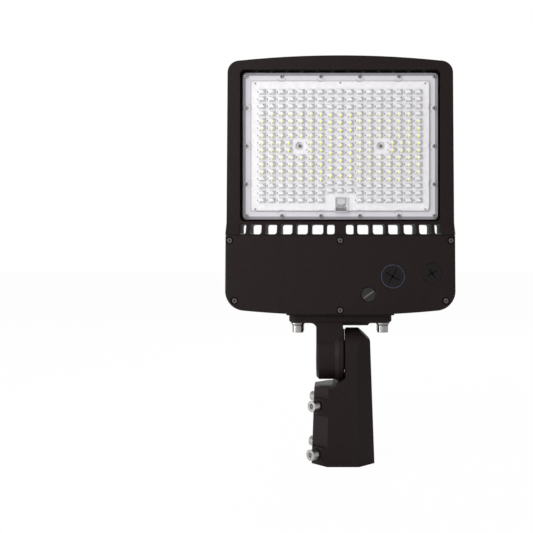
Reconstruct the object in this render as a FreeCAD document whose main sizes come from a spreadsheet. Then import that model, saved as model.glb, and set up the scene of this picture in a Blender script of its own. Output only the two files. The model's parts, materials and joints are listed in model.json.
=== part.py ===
import FreeCAD, Part

import math
import os
import re

import Sketcher
from FreeCAD import Placement, Rotation, Vector

# Shoebox area light on a slip fitter, in millimetres.
#
# Row frame: the origin is the centre of the tenon bore's mouth, +Z runs up the tenon's axis and -Y is the
# side that gives light. The arm is drawn from the pivot axis (its local z = 0), and everything in the head
# from the middle of the flat land on which the arm is bolted (local x = 0, z = 0).

DOC = FreeCAD.newDocument("area_light")
SHEET = DOC.addObject("Spreadsheet::Sheet", "Sizes")

SIZES = [
    # slip fitter
    ("bore_radius", 31.5, "tenon bore, loose round a 60.3 mm pole tenon"),
    ("bore_depth", 80, "depth of the tenon bore"),
    ("fitter_half", 37, "half the width across the flats, at the mouth"),
    ("fitter_draft", 2, "casting draft of the fitter's sides, in degrees"),
    ("fitter_chamfer", 18.5, "leg of the corner chamfers, at the mouth"),
    ("shoulder_height", 90, "top of the tube, left of the lug"),
    ("shoulder_run", 16, "length of the slope from the shoulder to the lug"),
    ("shoulder_rise", 11, "rise of that slope"),
    ("scoop_gap", 1, "room round the knuckle disc, in the shoulder"),
    ("pivot_height", 125.5, "pivot axis above the bore's mouth"),
    ("lug_face", 3, "plain face of the lug, right of the tenon's axis"),
    ("lug_bevel", 15, "bevel on the lug's upper right edge"),
    ("seat_chamfer", 12, "leg of the corner chamfer under a clamp screw"),
    ("seat_start", 6, "lower end of the first screw boss"),
    ("seat_length", 16, "length of a screw boss along the tube"),
    ("seat_pitch", 56, "from one screw boss to the next"),
    # screws and bolts
    ("bolt_radius", 4, "M8 thread"),
    ("bolt_head_radius", 6.5, "M8 socket head"),
    ("bolt_head_height", 8, "M8 socket head"),
    ("hex_radius", 3.46, "corner radius of the 6 mm hex socket"),
    ("hex_depth", 4, "depth of the hex socket"),
    ("thread_gap", 0.05, "radial clearance of a screw in its thread"),
    ("clamp_standoff", 2.5, "gap under a clamp screw's head at rest"),
    ("pivot_bolt_radius", 5, "M10 pivot bolt"),
    ("pivot_head_radius", 8, "its socket head"),
    ("pivot_head_height", 9.5, "its socket head"),
    ("pivot_gap", 0.08, "radial running clearance of the bolt in the lug"),
    ("pivot_washer_radius", 10, "washer under the pivot bolt's head"),
    ("pivot_washer_thickness", 2, "the same washer"),
    ("counterbore_radius", 11, "recess for the pivot bolt's head"),
    ("counterbore_depth", 12.5, "the same recess, from the lug's right face"),
    ("pivot_thread_depth", 24, "blind thread in the knuckle disc"),
    # knuckle
    ("tooth_height", 1.2, "serrations, at their outer end"),
    ("tooth_gap", 0.3, "room between the facing tips"),
    ("tooth_inner", 20, "inner radius of the serrated rings"),
    ("tooth_outer", 31, "outer radius of the serrated rings"),
    ("tooth_count", 72, "one tooth every five degrees"),
    ("hub_radius", 18, "pilot boss within the arm's serrations"),
    ("hub_reach", 1.2, "how far the boss stands in the lug"),
    ("hub_gap", 0.3, "room round the boss and at its end"),
    ("ring_radius", 32, "collar behind the arm's serrations"),
    ("ring_width", 5.3, "the same collar"),
    ("ring_cone", 4.5, "cone between collar and drum"),
    ("drum_radius", 29, "knuckle disc"),
    ("drum_bevel", 3, "bevel round the scale face"),
    # arm
    ("arm_left", 31.5, "scale face, left of the tenon's axis"),
    ("arm_right", 0.1, "right face of the neck"),
    ("arm_rise", 48, "from the pivot axis to the top of the flange"),
    ("neck_half_depth", 22, "half the depth of the neck"),
    ("neck_fillet", 7, "fillet between neck and flange"),
    ("flange_half_width", 60.5, "half the width of the flange"),
    ("flange_half_depth", 23, "half the depth of the flange"),
    ("flange_thickness", 8.5, "thickness of the flange"),
    ("flange_corner", 9, "corner radius of the flange"),
    ("flange_bevel", 2.5, "bevel round the flange's lower edge"),
    ("pad_end", 29, "right end of the pad under the flange"),
    ("pad_thickness", 2.8, "thickness of that pad"),
    ("pad_half_depth", 18, "half its depth"),
    ("arm_bolt_reach", 50.3, "arm bolts, left and right of the flange's middle"),
    ("arm_bolt_spacing", 20, "arm bolts, front to back"),
    ("arm_bolt_length", 25, "shank of the arm bolts"),
    ("arm_bolt_room", 0.5, "radial room of the arm bolts in the flange"),
    ("flat_washer_thickness", 1.6, "under the flange"),
    ("flat_washer_radius", 8, "under the flange"),
    ("spring_washer_thickness", 2, "split washer"),
    ("spring_washer_radius", 6.8, "split washer"),
    ("spring_washer_split", 1.2, "gap of the split"),
    ("arm_gasket_thickness", 1, "seal between flange and housing"),
    # head casting
    ("head_shift", 3.2, "middle of the head, left of the tenon's axis"),
    ("head_height", 304.5, "from the arm's land to the far end"),
    ("land_height", 0.5, "the arm's land stands proud of the foot"),
    ("head_crown", 7.6, "rise of the shallow arcs at both ends"),
    ("foot_half", 134, "half the width at the foot"),
    ("peak_half", 132, "half the width at the far end"),
    ("foot_corner", 23, "corner radius at the foot"),
    ("peak_corner", 14, "corner radius at the far end"),
    ("edge_round", 2.5, "rounded outer front edge"),
    ("frame_front", -24, "front face round the lens"),
    ("door_front", -34, "front face of the driver door"),
    ("rim_front", -26, "rim of the driver box, under the door's gasket"),
    ("fin_peak", 6, "back of the fins at the far end"),
    ("fin_foot", 22, "back of the fins at the driver box"),
    ("box_back", 30, "back of the driver box"),
    ("box_shoulder", 84, "top of the driver box's back face"),
    ("box_shoulder_rise", 12, "slope from there to the fins"),
    ("box_wall", 4, "walls of the driver box"),
    ("box_round", 6, "rounded back edges of the driver box"),
    ("door_height", 93.5, "top edge of the door"),
    ("door_gap", 0.5, "gap between door and vent ramp"),
    ("ramp_height", 14.5, "height of the vent ramp"),
    # window, heat sink, vents
    ("window_half", 117.7, "half the width of the lens window"),
    ("window_foot", 109.8, "lower edge of the window"),
    ("window_height", 178.2, "height of the window"),
    ("window_corner", 6, "corner radius of the window"),
    ("floor_front", -12, "floor behind the lens, front"),
    ("floor_back", -8, "floor behind the lens, back"),
    ("fin_pitch", 9, "from fin to fin"),
    ("fin_thickness", 2.4, "thickness of a fin"),
    ("fin_count", 14, "channels each side of the middle"),
    ("fin_low", 113, "lower end of the channels"),
    ("fin_end", 7, "wall left beyond the channels"),
    ("vent_foot", 94.8, "lower edge of the vents"),
    ("vent_height", 12.1, "height of the vents"),
    ("vent_web", 3.9, "webs between the vents"),
    ("vent_middle", 6.7, "half the middle web"),
    ("vent_reach", 118.1, "outer end of the last vent"),
    ("vent_corner", 2.6, "corner radius of the vents"),
    ("notch_width", 3.5, "air notches along the window's top edge"),
    ("notch_height", 2.4, "the same notches"),
    ("duct_half", 6.7, "half the width of the lead duct"),
    ("duct_top", 138, "upper end of the duct"),
    ("duct_back", 4, "back of the duct"),
    ("duct_depth", -2, "axis of the duct's bore"),
    ("duct_radius", 3.5, "bore of the duct"),
    ("lead_hole_radius", 4.5, "hole from the duct to the lens window"),
    ("lead_hole_height", 127.2, "height of that hole"),
    ("block_low", 42.8, "threaded blocks for the arm bolts, inner side"),
    ("block_high", 57.8, "the same blocks, outer side"),
    ("block_height", 14, "the same blocks"),
    ("block_half_depth", 18, "the same blocks"),
    ("block_thread", 13, "depth of the arm bolts' threads"),
    ("land_half_width", 63, "land for the arm's flange"),
    ("land_half_depth", 25, "the same land"),
    # door
    ("door_wall", 3.5, "wall of the door"),
    ("door_gasket_thickness", 1, "seal under the door"),
    ("door_gasket_inset", 0.8, "from the outside to the seal"),
    ("door_gasket_width", 2.4, "width of the seal"),
    ("door_screw_radius", 2, "M4 door screws"),
    ("door_screw_head", 3.5, "radius of their heads"),
    ("door_screw_head_height", 2.4, "height of their heads"),
    ("door_screw_sink", 0.4, "heads below the door's face"),
    ("door_screw_recess", 4.3, "radius of the recess round a head"),
    ("door_screw_length", 14, "shank"),
    ("door_boss_radius", 4.8, "bosses for the door screws"),
    ("door_boss_depth", 18, "the same bosses"),
    ("door_upper_reach", 128.5, "upper door screws"),
    ("door_upper_height", 87.5, "upper door screws"),
    ("door_lower_reach", 122.7, "lower door screws"),
    ("door_lower_height", 17.5, "lower door screws"),
    ("door_foot_height", 6.5, "lowest door screw"),
    # knock-out plugs and selector, in the door
    ("large_plug_across", 60.9, "large plug, right of the head's middle"),
    ("large_plug_height", 45.9, "large plug"),
    ("large_plug_radius", 14, "head of the large plug"),
    ("large_plug_thread", 10, "its thread"),
    ("large_plug_cross", 9.2, "half the length of its cross recess"),
    ("large_plug_turn", 59, "angle of its cross"),
    ("small_plug_across", 106.5, "small plug, right of the head's middle"),
    ("small_plug_height", 49.5, "small plug"),
    ("small_plug_radius", 11.5, "head of the small plug"),
    ("small_plug_thread", 8, "its thread"),
    ("small_plug_cross", 6.6, "half the length of its cross recess"),
    ("small_plug_turn", 33, "angle of its cross"),
    ("plug_head", 2, "thickness of the plugs' heads"),
    ("plug_seal", 0.8, "thickness of the plugs' seals"),
    ("plug_room", 0.3, "room round a plug's head"),
    ("plug_length", 9, "threaded length of the plugs"),
    ("plug_collar", 3.5, "wall of the threaded collars behind the door"),
    ("plug_collar_depth", 3, "the same collars"),
    ("cross_width", 1.6, "width of the cross recesses"),
    ("cross_depth", 1.2, "depth of the cross recesses"),
    ("knob_across", 32.8, "selector, right of the head's middle"),
    ("knob_height", 24.7, "selector"),
    ("knob_radius", 8.1, "selector knob"),
    ("knob_gap", 0.1, "running clearance of the knob in the door"),
    ("knob_recess", 9.3, "dark ring round the knob"),
    ("knob_recess_depth", 0.8, "the same ring"),
    ("knob_sink", 0.5, "knob below the door's face"),
    ("knob_length", 6.5, "knob"),
    ("knob_slot", 1.6, "width of its slot"),
    ("knob_slot_depth", 1.6, "depth of its slot"),
    ("knob_turn", 36, "angle of its slot"),
    ("knob_shaft", 3, "radius of its shaft"),
    ("knob_shaft_length", 8, "its shaft"),
    ("knob_collar", 2.3, "wall of the collar round the knob"),
    ("knob_seal", 1, "thickness of the seal behind the collar"),
    ("switch_half", 10.5, "half the width of the switch"),
    ("switch_depth", 11, "depth of the switch"),
    # lens plate
    ("lens_gap", 2.75, "gap round the lens plate"),
    ("lens_corner", 4.5, "corner radius of the lens plate"),
    ("lens_lip", 3, "thickness of its rim"),
    ("lens_plateau", 2, "step up to its middle"),
    ("plateau_half_width", 104.5, "half the width of the raised middle"),
    ("plateau_half_height", 76, "half its height"),
    ("plateau_corner", 5, "its corner radius"),
    ("lens_hollow_margin", 3, "wall round the hollow under the middle"),
    ("lens_seal", 2, "thickness of the lens gasket"),
    ("scallop_radius", 7.2, "hollow in the raised middle, round an edge screw"),
    ("lens_screw_inset", 4.1, "edge screws, from the plate's edge"),
    ("lens_screw_step_across", 46, "edge screws along the long sides"),
    ("lens_screw_step_up", 45, "edge screws along the short sides"),
    ("inner_screw_reach", 47.7, "inner screws, from the middle"),
    ("inner_boss_radius", 5, "boss under an inner screw"),
    ("screw_room", 0.2, "room round the small screws"),
    ("lens_screw_radius", 1.5, "M3 lens screws"),
    ("lens_screw_head", 2.6, "radius of their heads"),
    ("lens_screw_head_height", 1.7, "height of their heads"),
    ("lens_screw_grip", 3.6, "their hold in the floor"),
    ("viewport_across", 0.8, "connector window, right of the middle"),
    ("viewport_height", 130.2, "connector window"),
    ("viewport_width", 15, "connector window"),
    ("viewport_length", 18, "connector window"),
    ("viewport_rise", 2, "connector window, proud of the middle"),
    ("viewport_wall", 1.2, "wall of the connector window"),
    # optics and circuit board
    ("cell_pitch_across", 11.5, "optics, left to right"),
    ("cell_pitch_up", 8.5, "optics, bottom to top"),
    ("cell_pitch_middle", 8.93, "optics of the three middle columns"),
    ("cell_width", 9.2, "foot of one optic"),
    ("cell_height", 6.9, "foot of one optic"),
    ("cell_top", 0.45, "top of an optic, as a share of its foot"),
    ("cell_rise", 3.2, "height of one optic"),
    ("cell_shift_near", 2.5, "squeeze of the optics beside an inner screw"),
    ("cell_shift_next", 3.5, "the same, for the nearer one"),
    ("led_width", 2.8, "LED package"),
    ("led_height", 3.5, "LED package"),
    ("led_thickness", 0.7, "LED package"),
    ("board_thickness", 1.6, "circuit board"),
    ("board_half_width", 99.5, "half the width of the board"),
    ("board_half_height", 71.5, "half its height"),
    ("board_room", 0.5, "room round the bosses and the leads"),
    ("connector_width", 9, "plug on the board"),
    ("connector_height", 7, "plug on the board"),
    ("connector_depth", 4.6, "plug on the board"),
    ("connector_foot", 130.5, "lower end of the plug"),
    ("lead_radius", 0.8, "LED leads"),
    ("lead_spacing", 2.6, "between the two leads"),
    ("lead_front", -16.5, "leads where they leave the plug"),
    ("lead_bend", 2.6, "bend radius at the plug and in the duct"),
    ("grommet_bore", 3.2, "bore of the grommet"),
    # inside the driver box
    ("driver_left", -112, "driver"),
    ("driver_width", 150, "driver"),
    ("driver_foot", 24, "driver"),
    ("driver_height", 52, "driver"),
    ("driver_depth", 35, "driver"),
    ("ear_length", 10, "mounting ears"),
    ("ear_thickness", 2, "mounting ears"),
    ("surge_left", 62, "surge protector"),
    ("surge_width", 44, "surge protector"),
    ("surge_foot", 54, "surge protector"),
    ("surge_height", 28, "surge protector"),
    ("surge_depth", 20, "surge protector"),
    ("terminal_left", 64, "terminal block"),
    ("terminal_width", 34, "terminal block"),
    ("terminal_foot", 20, "terminal block"),
    ("terminal_height", 18, "terminal block"),
    ("terminal_depth", 15, "terminal block"),
    ("pole_radius", 2.4, "wire mouths of the terminal block"),
    ("chassis_screw_radius", 1.5, "M3 screws of the driver and its neighbours"),
    ("chassis_screw_head", 2.8, "radius of their heads"),
    ("chassis_screw_head_height", 2, "height of their heads"),
    ("chassis_screw_grip", 3.2, "their hold in the box's back wall"),
]

for row, (alias, number, note) in enumerate(SIZES, 1):
    SHEET.set(f"A{row}", note)
    SHEET.set(f"B{row}", str(number))
    SHEET.setAlias(f"B{row}", alias)
DOC.recompute()

ALIAS = re.compile(r"\b(" + "|".join(alias for alias, number, note in SIZES) + r")\b")

# Expressions that several pieces share.
PIVOT_REACH = "(fitter_half - tan(fitter_draft) * pivot_height)"
LAND = "(pivot_height + arm_rise + arm_gasket_thickness)"
TOOTH_FACE = "(lug_face - 2 * tooth_height - tooth_gap)"
FLANGE_FOOT = "(arm_rise - flange_thickness)"
FOOT_ARC = "((foot_half ^ 2 + head_crown ^ 2) / (2 * head_crown))"
PEAK_ARC = "((peak_half ^ 2 + head_crown ^ 2) / (2 * head_crown))"
FOOT_SIDE = "(land_height + head_crown)"
PEAK_SIDE = "(head_height - head_crown)"
RAMP_FOOT = "(door_height + door_gap)"
RAMP_TOP = "(door_height + door_gap + ramp_height)"
CAVITY_TOP = "(door_height + door_gap - box_wall)"
CAVITY_BACK = "(box_back - box_wall)"
WINDOW_MIDDLE = "(window_foot + window_height / 2)"
LENS_HALF_WIDTH = "(window_half - lens_gap)"
LENS_HALF_HEIGHT = "(window_height / 2 - lens_gap)"
LENS_BACK = "(floor_front - lens_seal)"
LENS_RIM = "(floor_front - lens_seal - lens_lip)"
LENS_FACE = "(floor_front - lens_seal - lens_lip - lens_plateau)"
DOOR_BACK = "(rim_front - door_gasket_thickness)"
DOOR_INSIDE = "(door_front + door_wall)"
KNOB_FRONT = "(door_front + knob_sink)"
KNOB_BACK = "(door_front + knob_sink + knob_length)"


def size(text):
    """The number that an expression of sizes gives."""
    return float(SHEET.evalExpression(text))


def bound(text):
    """The same expression, as an object outside the sheet has to write it."""
    return ALIAS.sub(r"Sizes.\1", text)


# ---------------------------------------------------------------- sketches and features of a body


def new_body(label, across="0", up="0"):
    """A body whose origin lies at these places in the row frame."""
    body = DOC.addObject("PartDesign::Body", label)
    body.Label = label
    body.setExpression("Placement.Base.x", bound(across))
    body.setExpression("Placement.Base.z", bound(up))
    return body


def head_body(label):
    return new_body(label, "-head_shift", LAND)


def origin_part(body, role):
    return next(part for part in body.Origin.OriginFeatures if part.Role == role)


def place_point(sketch, line, end, corner):
    """Hold one end of a line, or a circle's centre, at a corner given as two expressions."""
    for kind, text in zip(("DistanceX", "DistanceY"), corner):
        rule = sketch.addConstraint(Sketcher.Constraint(kind, -1, 1, line, end, size(text)))
        sketch.setExpression(f"Constraints[{rule}]", bound(text))


def draw_outline(sketch, corners, arcs, inward=()):
    """A closed outline, anticlockwise. arcs maps a side's number to the radius of the arc there; it
    bulges out of the outline, or into it where inward names the side."""
    first = sketch.GeometryCount
    count = len(corners)
    points = [Vector(size(x), size(y), 0) for x, y in corners]
    ends = []
    for side in range(count):
        start, stop = points[side], points[(side + 1) % count]
        if side in arcs:
            radius = size(arcs[side])
            chord = stop - start
            sagitta = radius - math.sqrt(max(radius**2 - chord.Length**2 / 4, 0))
            outward = Vector(chord.y, -chord.x, 0).normalize() * (-1 if side in inward else 1)
            line = sketch.addGeometry(Part.Arc(start, (start + stop) / 2 + outward * sagitta, stop), False)
            rule = sketch.addConstraint(Sketcher.Constraint("Radius", line, radius))
            sketch.setExpression(f"Constraints[{rule}]", bound(arcs[side]))
            turned = sketch.getPoint(line, 1).distanceToPoint(start) > chord.Length / 2
            ends.append((2, 1) if turned else (1, 2))
        else:
            sketch.addGeometry(Part.LineSegment(start, stop), False)
            ends.append((1, 2))
    for side in range(count):
        after = (side + 1) % count
        joint = Sketcher.Constraint("Coincident", first + side, ends[side][1], first + after, ends[after][0])
        sketch.addConstraint(joint)
        place_point(sketch, first + side, ends[side][0], corners[side])


def draw_circle(sketch, across, up, radius):
    centre = Vector(size(across), size(up), 0)
    line = sketch.addGeometry(Part.Circle(centre, Vector(0, 0, 1), size(radius)), False)
    rule = sketch.addConstraint(Sketcher.Constraint("Radius", line, size(radius)))
    sketch.setExpression(f"Constraints[{rule}]", bound(radius))
    place_point(sketch, line, 3, (across, up))


def rectangle(left, right, low, high):
    return [(left, low), (right, low), (right, high), (left, high)]


def rounded_corners(left, right, low, high, radius):
    """A rectangle with round corners; arcs_of gives the sides that are arcs."""
    return [
        (f"{left} + {radius}", low),
        (f"{right} - {radius}", low),
        (right, f"{low} + {radius}"),
        (right, f"{high} - {radius}"),
        (f"{right} - {radius}", high),
        (f"{left} + {radius}", high),
        (left, f"{high} - {radius}"),
        (left, f"{low} + {radius}"),
    ]


def arcs_of(radius):
    return {side: radius for side in (1, 3, 5, 7)}


def new_sketch(body, name, plane, offset="0", turn=0):
    """A sketch on one of the body's origin planes, moved along that plane's normal."""
    sketch = body.newObject("Sketcher::SketchObject", name)
    sketch.AttachmentSupport = (origin_part(body, plane + "_Plane"), [""])
    sketch.MapMode = "FlatFace"
    sketch.AttachmentOffset = Placement(Vector(0, 0, 0), Rotation(Vector(0, 1, 0), turn))
    sketch.setExpression("AttachmentOffset.Base.z", bound(offset))
    return sketch


def slab(body, kind, name, plane, low, high, outlines=(), circles=(), arcs=None, inward=()):
    """Add (Pad) or cut (Pocket) outlines between two places on the axis across their plane."""
    if plane == "XZ":
        start, stop = f"-({high})", f"-({low})"
    else:
        start, stop = low, high
    sketch = new_sketch(body, name + "_outline", plane, start if kind == "Pad" else stop)
    for outline in outlines:
        draw_outline(sketch, outline, arcs or {}, inward)
    for circle in circles:
        draw_circle(sketch, *circle)
    feature = body.newObject("PartDesign::" + kind, name)
    feature.Profile = sketch
    feature.setExpression("Length", bound(f"({stop}) - ({start})"))
    return feature


def spun(body, name, corners):
    """A turned shape: an outline of (place along X, radius) corners, turned about the body's X axis."""
    sketch = new_sketch(body, name + "_outline", "XZ")
    draw_outline(sketch, corners, {})
    feature = body.newObject("PartDesign::Revolution", name)
    feature.Profile = sketch
    feature.ReferenceAxis = (sketch, ["H_Axis"])
    feature.Angle = 360
    return feature


def mirrored(body, name, features, plane):
    feature = body.newObject("PartDesign::Mirrored", name)
    feature.Originals = features
    feature.MirrorPlane = (origin_part(body, plane + "_Plane"), [""])
    body.Tip = feature
    return feature


def row_and_mirror(body, name, original, pitch, count):
    """Repeat a feature along +X, and mirror the row to the other side."""
    both = body.newObject("PartDesign::MultiTransform", name)
    both.Originals = [original]
    line = body.newObject("PartDesign::LinearPattern", name + "_row")
    line.Direction = (origin_part(body, "X_Axis"), [""])
    line.setExpression("Length", bound(f"({pitch}) * ({count} - 1)"))
    line.Occurrences = round(size(count))
    flip = body.newObject("PartDesign::Mirrored", name + "_flip")
    flip.MirrorPlane = (origin_part(body, "YZ_Plane"), [""])
    both.Transformations = [line, flip]
    body.Tip = both
    return both


def softened(body, kind, name, base, amount, choose):
    """Round (Fillet) or bevel (Chamfer) the edges of the last feature that choose picks."""
    DOC.recompute()
    edges = base.Shape.Edges
    names = [f"Edge{number}" for number, edge in enumerate(edges, 1) if choose(edge)]
    feature = body.newObject("PartDesign::" + kind, name)
    feature.Base = (base, names)
    feature.setExpression("Radius" if kind == "Fillet" else "Size", bound(amount))
    return feature


def spans(edge, axis):
    """Whether an edge is straight along one axis."""
    box = edge.BoundBox
    lengths = {"X": box.XLength, "Y": box.YLength, "Z": box.ZLength}
    return lengths.pop(axis) > 0.1 and max(lengths.values()) < 0.05


def near(value, text, slack=0.2):
    return abs(value - size(text)) < slack


# ---------------------------------------------------------------- primitives and groups


def finished(feature, label, across="0", up="0"):
    """Name a sub-part and put it in its place in the row frame."""
    feature.Label = label
    feature.setExpression("Placement.Base.x", bound(across))
    feature.setExpression("Placement.Base.z", bound(up))
    return feature


def in_head(feature, label):
    return finished(feature, label, "-head_shift", LAND)


def block(name, x, y, z):
    """A box between the low and high expressions on each axis."""
    solid = DOC.addObject("Part::Box", name)
    for axis, side, (low, high) in zip("xyz", ("Length", "Width", "Height"), (x, y, z)):
        solid.setExpression(side, bound(f"({high}) - ({low})"))
        solid.setExpression("Placement.Base." + axis, bound(low))
    return solid


TURNS = {
    "+X": Rotation(Vector(0, 1, 0), 90),
    "-X": Rotation(Vector(0, 1, 0), -90),
    "+Y": Rotation(Vector(1, 0, 0), -90),
    "-Y": Rotation(Vector(1, 0, 0), 90),
    "+Z": Rotation(),
    "-Z": Rotation(Vector(1, 0, 0), 180),
}


def aimed(solid, start, axis):
    """Stand a primitive at start, with its length along axis."""
    solid.Placement = Placement(Vector(0, 0, 0), TURNS[axis])
    for letter, text in zip("xyz", start):
        solid.setExpression("Placement.Base." + letter, bound(text))
    return solid


def rod(name, radius, length, start, axis):
    solid = DOC.addObject("Part::Cylinder", name)
    solid.setExpression("Radius", bound(radius))
    solid.setExpression("Height", bound(length))
    return aimed(solid, start, axis)


def prism(name, sides, radius, length, start, axis):
    solid = DOC.addObject("Part::Prism", name)
    solid.Polygon = sides
    solid.setExpression("Circumradius", bound(radius))
    solid.setExpression("Height", bound(length))
    return aimed(solid, start, axis)


def joined(name, solids):
    union = DOC.addObject("Part::MultiFuse", name)
    union.Shapes = solids
    union.Refine = False
    return union


def united(name, base, tool):
    """Join a casting or moulding with a group of small solids that stand on it."""
    DOC.recompute()
    union = DOC.addObject("Part::Feature", name)
    union.Shape = base.Shape.fuse(tool.Shape)
    return union


def without(name, base, tool):
    cut = DOC.addObject("Part::Cut", name)
    cut.Base = base
    cut.Tool = tool
    cut.Refine = False
    return cut


def copies(name, template, places):
    """A group of equal solids: the template's shape at each placement."""
    group = DOC.addObject("Part::Feature", name)
    DOC.recompute()
    group.Shape = Part.makeCompound([template.Shape.transformed(place.toMatrix()) for place in places])
    return group


def shifts(points):
    return [Placement(Vector(*point), Rotation()) for point in points]


def drills(name, holes):
    """Cutting rods: (radius, start, vector along the hole) with plain numbers."""
    tool = DOC.addObject("Part::Feature", name)
    rods = [Part.makeCylinder(radius, along.Length, start, along) for radius, start, along in holes]
    tool.Shape = rods[0].multiFuse(rods[1:]) if len(rods) > 1 else rods[0]
    return tool


def socket_bolt(name, radius, length, head_radius, head_height, socket, depth):
    """A socket screw from its head's seat at the origin: the shank along +Z, the head below."""
    shank = rod(name + "_shank", radius, length, ("0", "0", "0"), "+Z")
    head = rod(name + "_head", head_radius, head_height, ("0", "0", "0"), "-Z")
    hexagon = prism(name + "_hexagon", 6, socket, depth, ("0", "0", f"-({head_height})"), "+Z")
    return without(name, joined(name + "_blank", [shank, head]), hexagon)


def pan_screw(name, radius, length, head_radius, head_height):
    """A small screw with its shank along +Y and its head's seat at the origin; a few flats stand for
    the round of its thread."""
    shank = prism(name + "_shank", 8, radius, length, ("0", "0", "0"), "+Y")
    head = DOC.addObject("Part::Cone", name + "_head")
    head.setExpression("Radius1", bound(head_radius))
    head.setExpression("Radius2", bound(f"({head_radius}) * 0.8"))
    head.setExpression("Height", bound(head_height))
    aimed(head, ("0", "0", "0"), "-Y")
    return joined(name, [shank, head])


# ---------------------------------------------------------------- serrated rings


def prismoid(near_end, far_end):
    """A flat-sided solid between two equal polygons, whose sides are plane."""
    faces = [Part.Face(Part.makePolygon(end + end[:1])) for end in (near_end, far_end)]
    count = len(near_end)
    for index in range(count):
        after = (index + 1) % count
        corners = [near_end[index], near_end[after], far_end[after], far_end[index]]
        faces.append(Part.Face(Part.makePolygon(corners + corners[:1])))
    solid = Part.Solid(Part.Shell(faces))
    return solid if solid.Volume > 0 else prismoid(near_end[::-1], far_end[::-1])


def serration(name, face, inward):
    """A ring of radial teeth on the plane x = face. Their tips rise towards the outside, as a line
    from the pivot axis does, so that every flank is flat."""
    inner, outer = size("tooth_inner"), size("tooth_outer")
    height = size("tooth_height")
    half_step = math.pi / round(size("tooth_count"))
    root = 0.88 * half_step
    buried = 0.6
    sign = -1 if inward else 1
    teeth = []
    for tooth in range(round(size("tooth_count"))):
        middle = 2 * half_step * tooth
        ends = []
        for radius in (inner, outer):
            left = Vector(face, radius * math.cos(middle - root), radius * math.sin(middle - root))
            right = Vector(face, radius * math.cos(middle + root), radius * math.sin(middle + root))
            across, up = math.cos(root) * math.cos(middle), math.cos(root) * math.sin(middle)
            tip = Vector(face + sign * height * radius / outer, radius * across, radius * up)
            sunk = Vector(-sign * buried, 0, 0)
            ends.append([left + sunk, right + sunk, right, tip, left])
        teeth.append(prismoid(*ends))
    ring = DOC.addObject("Part::Feature", name)
    ring.Shape = Part.makeCompound(teeth)
    return ring


# ---------------------------------------------------------------- slip fitter


def diagonal_recess(body, name, low, high, ramp):
    """Cut the corner between two screw bosses back to the plain chamfer, on both left corners. The end
    that faces the mouth is a ramp."""
    depth = "(2 * fitter_half - fitter_chamfer) / sqrt(2) - tan(fitter_draft) * ({0})"
    boss = "(2 * fitter_half - seat_chamfer) / sqrt(2) + 2"
    rise = "(fitter_chamfer - seat_chamfer) / sqrt(2)"
    sketch = new_sketch(body, name + "_outline", "XZ", "0", 225)
    stop = f"{high} - {rise}" if ramp else high
    corners = [
        (depth.format(low), low),
        (boss, low),
        (boss, f"{high} + 2" if ramp else high),
        (depth.format(stop), stop),
    ]
    draw_outline(sketch, corners, {})
    feature = body.newObject("PartDesign::Pocket", name)
    feature.Profile = sketch
    feature.setExpression("Length", bound("2 * fitter_half"))
    feature.Midplane = True
    return feature


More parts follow.
